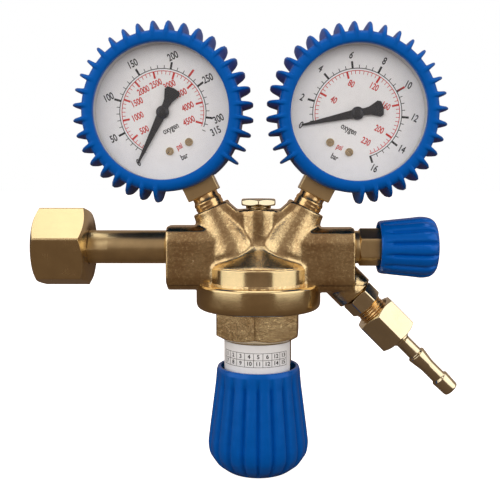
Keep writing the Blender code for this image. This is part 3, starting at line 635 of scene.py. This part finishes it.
class REGULATOR_OT_bonnet(bpy.types.Operator):
    """Spring housing with its hexagon, and the date label round its neck"""

    bl_idname = "regulator.bonnet"
    bl_label = "Bonnet and label"

    def execute(self, context):
        neck = rounded([
            (12.0, -22.4), (23.6, -22.4), (23.6, -27.3), (17.2, -27.3), (17.2, -40.6), (15.0, -41.0, 0.6),
            (15.0, -60.0, 0.8), (6.0, -60.0, 0.3), (6.0, -54.0), (12.0, -54.0),
        ], 0.05)
        shape = Shape().turn(neck, spread(96))
        shape.turn(**hexagon(36.0, -41.0, -27.3, 14.0, 25.5, (True, False), 1.3), finish=1)
        shape.piece(
            "bonnet_shell", BODY, "root", ["turned_body", "forged"], "turned_brass", ["bonnet"], edge=0.18)
        self.label()
        return {"FINISHED"}

    @staticmethod
    def shared(face):
        """Whether a wall lies between two steps of the strip, by its long edges."""
        return all(len(edge.link_faces) > 2 for edge in face.edges if edge.calc_length() > 1.0)

    def label(self):
        """Paper strip with a grid of month and day numbers."""
        top, bottom = -41.8, -56.5
        left, right = -100.0, 66.0
        radius = 15.32

        def wrap(point):
            angle = point.x / radius
            return Vector((sin(angle) * (radius + point.z), -cos(angle) * (radius + point.z), point.y))

        def along(angle):
            return radians(angle) * radius

        paper = Shape()
        steps = 40
        for step in range(steps):
            start = along(left + (right - left) * step / steps)
            end = along(left + (right - left) * (step + 1) / steps)
            paper.prism([(start, bottom), (end, bottom), (end, top), (start, top)], 0.0, 0.2)
        bmesh.ops.remove_doubles(paper.mesh, verts=paper.mesh.verts, dist=0.001)
        walls = [face for face in paper.mesh.faces if abs(face.normal.x) > 0.5]
        between = [face for face in walls if self.shared(face)]
        bmesh.ops.delete(paper.mesh, geom=between, context="FACES_ONLY")
        paper.piece("date_label", BODY, "root", ["paper"], "label_paper", ["serial_label"], bend=wrap)

        ink = Shape()
        low, high = 0.2, 0.235
        first, cell = -68.0, 15.1
        rules = (-45.4, -48.5, -51.6)
        for height in rules:
            for step in range(32):
                start = along(first + cell * 8 * step / 32)
                end = along(first + cell * 8 * (step + 1) / 32)
                under, over = height - RULE_HALF, height + RULE_HALF
                ink.prism([(start, under), (end, under), (end, over), (start, over)], low, high)
        for index in range(9):
            x = along(first + cell * index)
            near, far = x - RULE_HALF, x + RULE_HALF
            ink.prism([(near, rules[2]), (far, rules[2]), (far, rules[0]), (near, rules[0])], low, high)
        rows = ((1, 2, 3, 4, 5, 6, 12, 13), (7, 8, 9, 10, 11, 12, 14, 15))
        for row, numbers in enumerate(rows):
            for index, number in enumerate(numbers):
                x = along(first + cell * (index + 0.5))
                place = Matrix.Translation((x, (rules[row] + rules[row + 1]) / 2, 0.0))
                ink.letters(str(number), 2.5, low, high - low, place)
        ink.piece("label_print", BODY, "root", ["black"], "label_paper", bend=wrap)


def ribbed(profile, ribs, depth_at):
    """Profile, angles and warp of a knob wall with wide ribs and narrow valleys."""
    shares = (0.0, 0.06, 0.12, 0.18, 0.26, 0.36, 0.5, 0.64, 0.74, 0.82, 0.88, 0.94)
    angles = [2 * pi * (rib + share) / ribs for rib in range(ribs) for share in shares]

    def warp(radius, height, angle):
        depth = depth_at(radius, height)
        if depth <= 0.0:
            return radius, height
        share = angle * ribs / (2 * pi) % 1.0
        from_valley = min(share, 1.0 - share)
        valley = exp(-((from_valley / 0.13) ** 2))
        crown = (from_valley / 0.5 - 1.0) ** 2
        return radius - depth * (0.82 * valley + 0.18 * crown), height

    return {"profile": profile, "angles": angles, "warp": warp}


class REGULATOR_OT_knobs(bpy.types.Operator):
    """Adjusting knob and outlet knob, moulded as open cups with ribbed walls"""

    bl_idname = "regulator.knobs"
    bl_label = "Knobs"

    def execute(self, context):
        sizes = context.scene.regulator_sizes
        depth = sizes.rib_depth / MM
        cup = rounded([
            (5.9, -89.2), (5.9, -69.0), (16.4, -69.0, 1.0), (17.0, -54.0, 0.4), (18.4, -54.0, 0.5),
            (18.95, -55.6, 0.6), (19.6, -62.0, 2.0), (20.9, -72.0, 2.0), (22.2, -82.0, 2.0),
            (23.1, -89.5, 2.0), (22.4, -94.0, 1.6), (19.6, -98.4, 1.6), (14.6, -102.2, 1.6),
            (9.0, -102.3, 0.8), (8.2, -101.6, 0.5), (0.0, -101.5),
        ][::-1] + [(0.0, -89.2)], 0.3, 4)

        def main_depth(radius, height):
            if radius < 17.5:
                return 0.0
            return depth * smooth_step(-56.4 - height, 0.0, 6.0) * smooth_step(height + 102.6, 0.0, 3.0)

        Shape().turn(**ribbed(cup, sizes.knob_ribs, main_depth)).piece(
            "adjusting_knob_shell", BODY, "adjusting_knob", ["plastic"], "blue_plastic",
            ["adjusting_knob"], sharp=50.0)

        valve_cup = rounded([
            (0.0, 75.4), (3.1, 75.4), (3.1, 62.0), (9.8, 62.0, 0.6), (10.2, 53.8, 0.3), (11.5, 53.8, 0.4),
            (11.9, 54.9, 0.4), (12.5, 60.0, 1.5), (13.3, 68.0, 1.5), (13.9, 73.0, 1.6), (13.4, 76.6, 1.6),
            (11.4, 78.9, 1.2), (8.5, 79.4, 1.0), (5.2, 79.3, 0.5), (4.7, 78.8, 0.3), (0.0, 78.7),
        ], 0.25, 4)

        def valve_depth(radius, height):
            if radius < 10.6:
                return 0.0
            fade = smooth_step(height - 55.6, 0.0, 4.5) * smooth_step(79.6 - height, 0.0, 3.0)
            return depth * 0.82 * fade

        Shape().turn(**ribbed(valve_cup, sizes.valve_ribs, valve_depth)).piece(
            "outlet_knob_shell", CROSS, "outlet_knob", ["plastic"], "blue_plastic",
            ["outlet_knob"], sharp=50.0)
        return {"FINISHED"}


class REGULATOR_OT_inlet(bpy.types.Operator):
    """Cylinder nut and the stem that it turns on"""

    bl_idname = "regulator.inlet"
    bl_label = "Inlet nut and stem"

    def execute(self, context):
        nut = hexagon(32.0, -13.3, 9.5, 7.8, -45.0)
        bore = [(7.8, 4.3), (12.4, 4.3)] + [
            (radius + 0.9, height) for radius, height, _ in threads(12.5, 4.3, -12.0, 1.8, 0.9)]
        nut["profile"] = [(14.0, -13.3)] + nut["profile"][1:] + bore
        shape = Shape().turn(**nut)
        shape.piece("cylinder_nut", INLET, "inlet_nut", ["nut"], "turned_brass", ["inlet_nut"], edge=0.2)

        half, turn, end = 6.25, radians(62.0), 18.7

        def flats(radius, height, angle):
            if 4.4 < height <= end and radius > half:
                lean = abs(cos(angle - turn))
                return min(radius, half / max(lean, 0.01)), height
            return radius, height

        profile = rounded([
            (2.5, 57.5), (6.5, 57.5), (6.5, 44.4), (7.5, 44.4, 0.4), (7.5, end + 0.02, 0.0),
            (7.5, end, 0.0), (7.5, 4.5, 0.0), (7.5, 4.0, 0.0), (11.0, 4.0, 0.3), (11.0, 0.0, 0.3),
            (7.4, 0.0, 0.1), (7.4, 0.6, 0.1),
            (6.4, 0.6, 0.1), (6.4, -1.2, 0.1), (5.2, -1.2, 0.1), (5.2, -3.4, 0.1), (6.4, -3.4, 0.1),
            (6.4, -5.2, 0.3), (5.6, -6.0, 0.2), (4.3, -6.0, 0.1), (4.3, 14.0, 0.0), (2.5, 14.0, 0.0),
        ], 0.05)
        Shape().turn(profile, spread(96), flats).piece(
            "inlet_stem_bar", INLET, "root", ["turned_cross"], "turned_brass", ["inlet_stem"], edge=0.12)
        return {"FINISHED"}


class REGULATOR_OT_outlet(bpy.types.Operator):
    """Outlet valve bonnet, sloping nipple, union nut, barbed tail and relief cap"""

    bl_idname = "regulator.outlet"
    bl_label = "Outlet fittings"

    def execute(self, context):
        valve = rounded([
            (3.2, 44.9), (7.35, 44.9, 0.2), (7.35, 42.8, 0.3), (5.45, 42.8), (5.45, 31.0), (3.2, 31.0),
        ], 0.05)
        shape = Shape().turn(valve).turn(**hexagon(15.0, 44.7, 56.0, 5.2))
        shape.piece("outlet_bonnet", CROSS, "root", ["turned_cross"], "turned_brass",
                    ["outlet_valve_bonnet"], edge=0.15)

        thread = [(2.5, 48.7), (5.7, 48.7)] + threads(6.5, 48.2, 37.6, 1.3, 0.5) + [
            (6.9, 37.4, 0.1), (6.9, 30.1, 0.1), (5.6, 30.1), (5.6, 20.2), (2.5, 20.2)]
        shape = Shape().turn(rounded(thread, 0.05), finish=1)
        shape.turn(**hexagon(14.0, 30.0, 37.5, 4.0))
        shape.piece("branch_nipple", BRANCH, "root", ["pale_branch", "copper"], "copper_brass",
                    ["outlet_nipple"], edge=0.15)

        nut = hexagon(18.6, 41.5, 57.5, 4.6, 30.0)
        nut["profile"] = [(7.8, 41.5)] + nut["profile"][1:] + [(4.6, 53.0), (6.8, 53.0), (6.8, 42.5)]
        Shape().turn(**nut).piece(
            "union_nut", BRANCH, "hose_nut", ["pale_branch"], "pale_brass", ["hose_nut"], edge=0.18)

        tail = rounded([
            (2.1, 92.2, 0.2), (3.55, 92.2, 0.3), (3.8, 91.4, 0.3), (4.15, 84.6, 0.25), (3.35, 83.9, 0.3),
            (3.35, 76.4, 0.8), (4.35, 69.3, 0.25), (3.35, 68.5, 0.3), (3.35, 60.3, 0.4), (4.15, 59.5, 0.3),
            (4.15, 52.7), (6.45, 52.7), (6.45, 50.5), (2.1, 50.5),
        ], 0.05)
        Shape().turn(tail).piece(
            "barbed_tail", BRANCH, "hose_tail", ["pale_branch"], "pale_brass", ["hose_tail"])

        cap = rounded([
            (0.0, 20.6), (6.9, 20.6), (6.9, 18.7, 0.2), (5.65, 18.5, 0.3), (5.65, 17.4, 0.3), (4.2, 17.4),
            (4.2, 12.4), (3.3, 12.4), (3.3, 19.3), (0.0, 19.3),
        ], 0.05)
        shape = Shape().turn(cap)
        head = hexagon(15.2, 18.6, 21.7, 0.0, 30.0)
        head["profile"] = [(0.0, 18.8), (3.4, 18.8)] + head["profile"][1:5] + [(4.4, 21.55), (0.0, 21.4)]
        shape.turn(**head)
        shape.piece("relief_valve_cap", BODY, "root", ["pale"], "pale_brass", ["relief_cap"], edge=0.22)
        return {"FINISHED"}


# Gauges


def fin_profiles():
    """Outline of the guard's section between fins and on a fin, as (radius, depth)."""
    plain = [
        (28.7, 16.95), (28.7, 19.0), (29.0, 19.7), (29.6, 20.0), (31.0, 20.0), (32.0, 19.85), (32.9, 19.3),
        (33.6, 18.2), (33.9, 16.6), (34.0, 13.0), (34.0, 6.0), (34.0, 0.0), (34.0, -6.0), (34.0, -10.6),
        (33.7, -12.2), (33.0, -12.9), (31.7, -13.0), (31.62, 16.9),
    ]
    raised = [
        (28.7, 16.95), (28.7, 19.0), (29.0, 19.7), (29.6, 20.0), (31.0, 20.0), (32.2, 20.25), (33.8, 20.0),
        (35.6, 18.6), (37.3, 16.0), (38.5, 12.6), (39.0, 8.0), (39.0, 1.0), (38.8, -4.0), (37.9, -7.6),
        (36.0, -10.4), (33.6, -12.2), (31.7, -13.0), (31.62, 16.9),
    ]
    return plain, raised


def guard_shape(fins):
    """Guard ring whose section swells into fins, open for the shank at the bottom."""
    plain, raised = fin_profiles()
    step = 10.0
    first = 180.0 - step * (fins - 1) / 2
    offsets = (-5.0, -3.2, -2.2, -1.85, -1.6, -1.35, -1.05, -0.6, 0.0, 0.6, 1.05, 1.35, 1.6, 1.85, 2.2, 3.2)
    gap_start = first + step * (fins - 1) + 5.0
    gap = 360.0 - step * fins
    columns = [first + step * fin + offset for fin in range(fins) for offset in offsets]
    columns += [gap_start + gap * share / 24 for share in range(24)]
    notch = 12.8
    columns += [360.0 - notch, 360.0 + notch, 360.0 - notch - 0.25, 360.0 + notch + 0.25]
    columns = sorted(columns)

    def swell(angle):
        place = (angle - first) % 360.0
        if place > step * (fins - 1) + step / 2 and place < 360.0 - step / 2:
            return 0.0
        away = abs((place + step / 2) % step - step / 2)
        rise = 1.0 - smooth_step(away, 0.8, 2.1)
        return rise * (1.0 - 0.05 * smooth_step(away, 0.2, 1.1))

    made = Shape()
    rows = []
    for column in columns:
        share = swell(column)
        cut = abs(column - 360.0) < notch + 0.1
        turn = radians(column - 90.0)
        row = []
        for (radius, depth), (fin_radius, fin_depth) in zip(plain, raised):
            reach = radius + (fin_radius - radius) * share
            height = depth + (fin_depth - depth) * share
            if cut:
                height = max(height, 7.6)
            row.append(made.mesh.verts.new((reach * cos(turn), reach * sin(turn), height)))
        rows.append(row)
    count = len(plain)
    for row, after in zip(rows, rows[1:] + rows[:1]):
        for index in range(count):
            following = (index + 1) % count
            made.mesh.faces.new((row[index], after[index], after[following], row[following]))
    return made


def polar(angle, radius):
    """Place on a dial, clockwise from the top."""
    return (radius * sin(radians(angle)), radius * cos(radians(angle)))


def tick(shape, angle, inner, outer, width, low, finish):
    """Radial mark on a dial."""
    along = Vector(polar(angle, 1.0))
    across = Vector((along.y, -along.x)) * width / 2
    near, far = along * inner, along * outer
    corners = [near - across, near + across, far + across, far - across]
    shape.prism([tuple(corner) for corner in corners], low, low + PRINT_THICK, finish)


def arc(shape, start, end, inner, outer, low, finish):
    """Curved mark on a dial."""
    steps = max(int(abs(end - start) / 3), 2)
    for index in range(steps):
        a = start + (end - start) * index / steps
        b = start + (end - start) * (index + 1) / steps
        corners = [polar(a, inner), polar(b, inner), polar(b, outer), polar(a, outer)]
        shape.prism(corners, low, low + PRINT_THICK, finish)


def number(shape, text, angle, radius, size, finish, squeeze=0.0):
    """Upright figure on a dial; a squeeze draws the ring of figures in sideways."""
    x, y = polar(angle, radius)
    x *= 1.0 - squeeze * abs(sin(radians(angle)))
    narrow = Matrix.Scale(FIGURE_WIDTH, 4, (1.0, 0.0, 0.0))
    place = Matrix.Translation((x, y, 0.0)) @ narrow
    shape.letters(text, size, DIAL_FACE, PRINT_THICK, place, finish)


def dial_scale(shape, spec):
    """Two printed scales that share one sweep: the outer in black and the inner in red."""
    start, per_bar, per_psi = 225.0, spec["per_bar"], spec["per_bar"] * PSI_IN_BAR
    base = spec["base"]
    top = start + spec["bars"] * per_bar
    arc(shape, start + 4.0, top, base, base + 0.34, DIAL_FACE, 0)
    arc(shape, start + 4.0, top, base - 0.95, base - 0.65, DIAL_FACE, 1)
    marks = int(round(spec["bars"] / spec["bar_minor"]))
    for index in range(1, marks + 1):
        value = index * spec["bar_minor"]
        major = index % spec["bar_group"] == 0
        tick(shape, start + value * per_bar, base, base + (3.2 if major else 1.6),
             0.9 if major else 0.3, DIAL_FACE, 0)
    for value in spec["bar_labels"]:
        angle = start + value * per_bar if value else spec["zero"]
        number(shape, str(value), angle, base + 5.7, 4.3, 0)
    count = int(spec["psi_end"] / spec["psi_minor"])
    for index in range(1, count + 1):
        value = index * spec["psi_minor"]
        major = index % spec["psi_group"] == 0
        inner = base - 0.8
        tick(shape, start + value * per_psi, inner - (3.0 if major else 1.5), inner,
             0.85 if major else 0.26, DIAL_FACE, 1)
    for value in spec["psi_labels"]:
        number(shape, str(value), start + value * per_psi, spec["psi_radius"], 3.8, 1, 0.12)
    mark = start + spec["red_bar"] * per_bar
    tick(shape, mark, base + 0.5, base + 4.0, 0.9, DIAL_FACE, 1)
    number(shape, "oxygen", 180.0, 7.6, 3.6, 0)
    number(shape, "psi", 180.0, 16.1, 3.4, 1)
    number(shape, "bar", 180.0, 20.9, 3.4, 0)


DIALS = {
    "high": {
        "zero": 232.0, "base": 18.4, "bars": 315, "per_bar": 270.0 / 315, "bar_minor": 10, "bar_group": 5,
        "bar_labels": (0, 50, 100, 150, 200, 250, 300, 315), "red_bar": 230,
        "psi_end": 4500, "psi_minor": 100, "psi_group": 5, "psi_radius": 12.4,
        "psi_labels": (500, 1000, 1500, 2000, 2500, 3000, 3500, 4000, 4500),
    },
    "low": {
        "zero": 231.0, "base": 18.9, "bars": 16, "per_bar": 270.0 / 16, "bar_minor": 0.5, "bar_group": 4,
        "bar_labels": (0, 2, 4, 6, 8, 10, 12, 14, 16), "red_bar": 10,
        "psi_end": 230, "psi_minor": 5, "psi_group": 8, "psi_radius": 13.2,
        "psi_labels": (40, 80, 120, 160, 200, 230),
    },
}
SCREW_PLACES = {"left": (-4.6, -16.2), "right": (4.6, -16.2)}


class REGULATOR_OT_gauges(bpy.types.Operator):
    """Both gauges: guard, case, printed dial, pointer, screws, window and shank"""

    bl_idname = "regulator.gauges"
    bl_label = "Gauges"

    def execute(self, context):
        fins = context.scene.regulator_sizes.guard_fins
        for side, place in GAUGES.items():
            front = place @ FACING
            guard_shape(fins).piece(
                side + "_guard_rubber", front, "root", ["rubber"], "blue_rubber",
                [side + "_guard"], sharp=50.0)
            self.case(side, front)
            self.dial(side, front)
            self.pointer(side, place)
            self.shank(side, place)
        return {"FINISHED"}

    def case(self, side, front):
        """Pressed case, the ring inside it in dial white darkened as painted shade on the inner wall, and the
        clear window.
        """
        wall = rounded([
            (0.0, -9.6), (30.2, -9.6), (30.2, 16.6, 0.2), (31.2, 16.6, 0.3), (31.3, -9.6, 1.2),
            (29.6, -11.0, 0.8), (0.0, -11.0),
        ], 0.2)
        Shape().turn(wall, spread(96)).piece(
            side + "_case_shell", front, "root", ["steel"], "steel", [side + "_case"])
        # Ring on the inner wall between dial and window, in the dial white darkened as painted shade.
        ring = rounded([(28.75, 11.3), (29.9, 11.3), (29.9, 14.4), (29.4, 14.4, 0.2)], 0.1)
        Shape().turn(ring, spread(96)).piece(
            side + "_inner_ring", front, "root", ["shaded_case_wall"], "dial_white")
        pane = rounded([(0.0, 16.2), (29.9, 16.1, 0.2), (29.9, 14.7, 0.2), (0.0, 14.7)], 0.2)
        Shape().turn(pane, spread(96)).piece(
            side + "_window_pane", front, "root", ["clear"], "clear_window", [side + "_window"])

    def dial(self, side, front):
        """White plate, its print and the two brass screws that hold it."""
        plate = rounded([(1.3, DIAL_FACE), (29.85, DIAL_FACE, 0.1), (29.85, 10.4, 0.1), (1.3, 10.4)], 0.05)
        Shape().turn(plate, spread(96)).piece(
            side + "_dial_plate", front, "root", ["dial"], "dial_white", [side + "_dial"])
        print_shape = Shape()
        dial_scale(print_shape, DIALS[side])
        print_shape.piece(side + "_dial_print", front, "root", ["black", "red"], "dial_white", sharp=30.0)
        for label, (x, y) in SCREW_PLACES.items():
            head = Shape()
            for facing in (0.0, pi):
                start = 0.28 / 1.8
                angles = [facing + start + (pi - 2 * start) * step / 12 for step in range(13)]
                outline = [(1.75 * cos(angle), 1.75 * sin(angle)) for angle in angles]
                head.prism(outline, 11.25, 11.75)
            stem = rounded([
                (0.0, 11.4), (1.78, 11.4, 0.1), (1.78, 11.0, 0.1), (0.9, 11.0), (0.9, 9.0), (0.0, 9.0),
            ], 0.05)
            head.turn(stem, spread(32))
            tilt = Matrix.Rotation(0.5 if label == "left" else -0.3, 4, "Z")
            spot = front @ Matrix.Translation((x, y, 0.0)) @ tilt
            head.piece("%s_screw_%s" % (side, label), spot, "root",
                       ["pale"], "pale_brass", ["%s_dial_screw_%s" % (side, label)], edge=0.1)

    def pointer(self, side, place):
        """Black needle with a flared tail and a domed hub."""
        half = [
            (0.4, 24.4), (1.15, 12.0), (1.8, 2.4), (2.0, 0.0), (1.5, -3.0), (1.8, -5.4),
            (3.5, -9.3), (2.9, -10.8),
        ]
        outline = half + [(0.0, -11.3)] + [(-x, z) for x, z in reversed(half)] + [(0.0, 24.4)]
        turn = Matrix.Rotation(radians(DIALS[side]["zero"]), 4, "Y")
        needle = Shape().prism(outline, 11.95, 12.45)
        hub = rounded([(0.0, 13.6), (1.6, 13.5, 0.5), (2.7, 12.7, 0.5), (2.9, 11.95, 0.2), (0.0, 11.9)], 0.2)
        needle.turn(hub, spread(40))
        needle.piece(side + "_needle", place @ turn @ FACING, side + "_pointer", ["enamel"], "black_enamel",
                     [side + "_pointer"], edge=0.08)

    def shank(self, side, place):
        """Square shank with a cut thread below it and the tube holder above."""
        shape = Shape()
        size = 7.3
        square = [(-size, -size), (size, -size), (size, size), (-size, size)]
        shape.prism(square, -39.6, -29.0)
        shape.prism([(-size, -6.5), (size, -6.5), (size, 4.1), (-size, 4.1)], -29.5, -14.0,
                    place=Matrix.Scale(-1.0, 4, (0.0, 1.0, 0.0)))
        ridges = threads(6.5, -42.0, -53.4, 1.5, 0.22)
        thread = [(0.0, -39.0), (5.8, -39.0), (5.8, -41.2), *ridges, (0.0, -54.0)]
        shape.turn(thread, spread(64), finish=1)
        shape.piece(side + "_shank", place, "root", ["turned_cross", "copper"], "turned_brass",
                    [side + "_socket"], edge=0.45)


# Inner parts and stage

INNER = {
    "steel": [
        "adjusting_spring", "valve_spring", "relief_spring", "adjusting_screw", "spring_plate", "slip_ring",
        "diaphragm_plate", "upper_spring_seat", "valve_pin", "outlet_spindle", "high_link", "low_link",
    ],
    "turned_body": ["valve_capsule", "relief_poppet", "high_pinion", "low_pinion"],
    "turned_cross": ["spindle_gland"],
    "pale": ["inlet_filter", "high_movement_frame", "low_movement_frame", "high_sector", "low_sector"],
    "copper": ["high_bourdon_tube", "low_bourdon_tube"],
    "black_rubber": [
        "diaphragm", "inlet_o_ring", "spindle_o_ring", "nipple_gasket", "outlet_valve_pad", "valve_poppet",
    ],
}


class REGULATOR_OT_inner_parts(bpy.types.Operator):
    """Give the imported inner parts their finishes"""

    bl_idname = "regulator.inner_parts"
    bl_label = "Inner parts"

    def execute(self, context):
        for look, names in INNER.items():
            for name in names:
                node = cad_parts[name]
                node.data.materials.clear()
                node.data.materials.append(FINISHES[look])
        return {"FINISHED"}


class REGULATOR_OT_finishes(bpy.types.Operator):
    """Make the finishes that the pieces share"""

    bl_idname = "regulator.finishes"
    bl_label = "Finishes"

    def execute(self, context):
        FINISHES.update(make_finishes(context.scene.regulator_colours))
        return {"FINISHED"}


WHITE = (1.0, 1.0, 1.0, 1.0)
ROOM_COLOUR = (0.34, 0.27, 0.235, 1.0)
ROOM_STRENGTH = 1.0
FLOOR_REFLECTED = (0.16, 0.12, 0.09, 1.0)
FLOOR_GLOW = 0.97
# Each lamp: place from the body's centre in metres, size in metres, power in watts.
LAMPS = {
    "left_softbox": ((-0.72, -0.42, 0.22), (1.0, 1.0), 3.9),
    "right_softbox": ((0.72, -0.42, 0.22), (1.0, 1.0), 3.9),
    "top_softbox": ((0.0, -0.05, 0.95), (0.9, 0.6), 2.6),
    "front_fill": ((-0.1, -1.3, 0.3), (1.0, 1.0), 6.0),
}


def aim(thing, target):
    """Turn a light or camera towards a place."""
    direction = Vector(target) - thing.location
    thing.rotation_euler = direction.to_track_quat("-Z", "Y").to_euler()


class REGULATOR_OT_stage(bpy.types.Operator):
    """Camera, pale floor, surrounding light, three softboxes and a fill that metal does not mirror"""

    bl_idname = "regulator.stage"
    bl_label = "Stage"

    def execute(self, context):
        scene = context.scene
        scene.view_settings.view_transform = "Standard"
        camera = bpy.data.objects.new("camera", bpy.data.cameras.new("camera"))
        camera.data.sensor_width = 36.0
        camera.data.lens = 56.2
        camera.data.clip_start = 0.01
        camera.location = Vector((86.2, -350.0, 32.4)) * MM
        aim(camera, Vector((81.7, 0.0, -1.4)) * MM)
        scene.collection.objects.link(camera)
        scene.camera = camera
        self.floor(scene)
        self.surround(scene)
        centre = Vector((BODY_X * MM, 0.0, 0.0))
        for name, (offset, size, power) in LAMPS.items():
            lamp = bpy.data.lights.new(name, "AREA")
            lamp.shape = "RECTANGLE"
            lamp.size, lamp.size_y = size
            lamp.energy = power
            light = bpy.data.objects.new(name, lamp)
            light.location = centre + Vector(offset)
            aim(light, centre)
            light.visible_glossy = name != "front_fill"
            scene.collection.objects.link(light)
        return {"FINISHED"}

    def floor(self, scene):
        """Pale round floor just under the lowest piece."""
        low = CAD_BOX[0][2] - 0.0002
        shape = bmesh.new()
        bmesh.ops.create_circle(shape, cap_ends=True, segments=96, radius=6.0)
        mesh = bpy.data.meshes.new("floor")
        shape.to_mesh(mesh)
        shape.free()
        piece = bpy.data.objects.new("floor", mesh)
        piece.location = (BODY_X * MM, 0.0, low)
        scene.collection.objects.link(piece)
        colour = tuple(scene.regulator_colours.floor)
        finish = Finish(
            "floor", Roughness=0.9, Specular_IOR_Level=0.1,
            Emission_Color=WHITE, Emission_Strength=FLOOR_GLOW)
        tone = finish.mix(finish.noise(0.02, 3.0), toned(colour, 0.99), colour)
        seen = finish.node("ShaderNodeLightPath", out="Is Camera Ray")
        dim = finish.node("ShaderNodeBsdfDiffuse", None, {"Color": FLOOR_REFLECTED})
        finish.feed(Base_Color=tone)
        pale = Signal(finish, finish.shader.outputs["BSDF"])
        surface = finish.node("ShaderNodeMixShader", None, {0: seen, 1: dim, 2: pale})
        output = finish.tree.nodes["Material Output"]
        finish.tree.links.new(surface.socket, output.inputs["Surface"])
        mesh.materials.append(finish.material)

    def surround(self, scene):
        """White behind the object, with a dimmer warm room for reflections."""
        world = bpy.data.worlds.new("studio")
        world.use_nodes = True
        scene.world = world
        world.node_tree.nodes.remove(world.node_tree.nodes["Background"])
        studio = Nodes(world.node_tree)
        seen = studio.node("ShaderNodeLightPath", out="Is Camera Ray")
        room = studio.node("ShaderNodeBackground", None, {"Color": ROOM_COLOUR, "Strength": ROOM_STRENGTH})
        white = studio.node("ShaderNodeBackground", None, {"Color": WHITE})
        surface = studio.node("ShaderNodeMixShader", None, {0: seen, 1: room, 2: white})
        output = studio.tree.nodes["World Output"]
        studio.tree.links.new(surface.socket, output.inputs["Surface"])


STEPS = (
    REGULATOR_OT_finishes, REGULATOR_OT_stage, REGULATOR_OT_body, REGULATOR_OT_bonnet, REGULATOR_OT_knobs,
    REGULATOR_OT_inlet, REGULATOR_OT_outlet, REGULATOR_OT_gauges, REGULATOR_OT_inner_parts,
)


class REGULATOR_PT_panel(bpy.types.Panel):
    """Sidebar panel with the sizes, colours and steps"""

    bl_idname = "REGULATOR_PT_panel"
    bl_label = "Regulator"
    bl_space_type = "VIEW_3D"
    bl_region_type = "UI"
    bl_category = "Regulator"

    def draw(self, context):
        for group in (context.scene.regulator_sizes, context.scene.regulator_colours):
            for name in group.bl_rna.properties.keys():
                if name not in ("rna_type", "name"):
                    self.layout.prop(group, name)
        for step in STEPS:
            self.layout.operator(step.bl_idname)


CLASSES = (RegulatorSizes, RegulatorColours, *STEPS, REGULATOR_PT_panel)


def register():
    """Register the classes and hang the settings on the scene."""
    for item in CLASSES:
        bpy.utils.register_class(item)
    bpy.types.Scene.regulator_sizes = PointerProperty(type=RegulatorSizes)
    bpy.types.Scene.regulator_colours = PointerProperty(type=RegulatorColours)


def unregister():
    """Take the settings and classes away again."""
    del bpy.types.Scene.regulator_colours
    del bpy.types.Scene.regulator_sizes
    for item in reversed(CLASSES):
        bpy.utils.unregister_class(item)


def main():
    """Register the classes and build the regulator."""
    register()
    bpy.ops.regulator.finishes()
    bpy.ops.regulator.stage()
    bpy.ops.regulator.body()
    bpy.ops.regulator.bonnet()
    bpy.ops.regulator.knobs()
    bpy.ops.regulator.inlet()
    bpy.ops.regulator.outlet()
    bpy.ops.regulator.gauges()
    bpy.ops.regulator.inner_parts()
    bpy.context.view_layer.update()


if __name__ == "__main__":
    main()
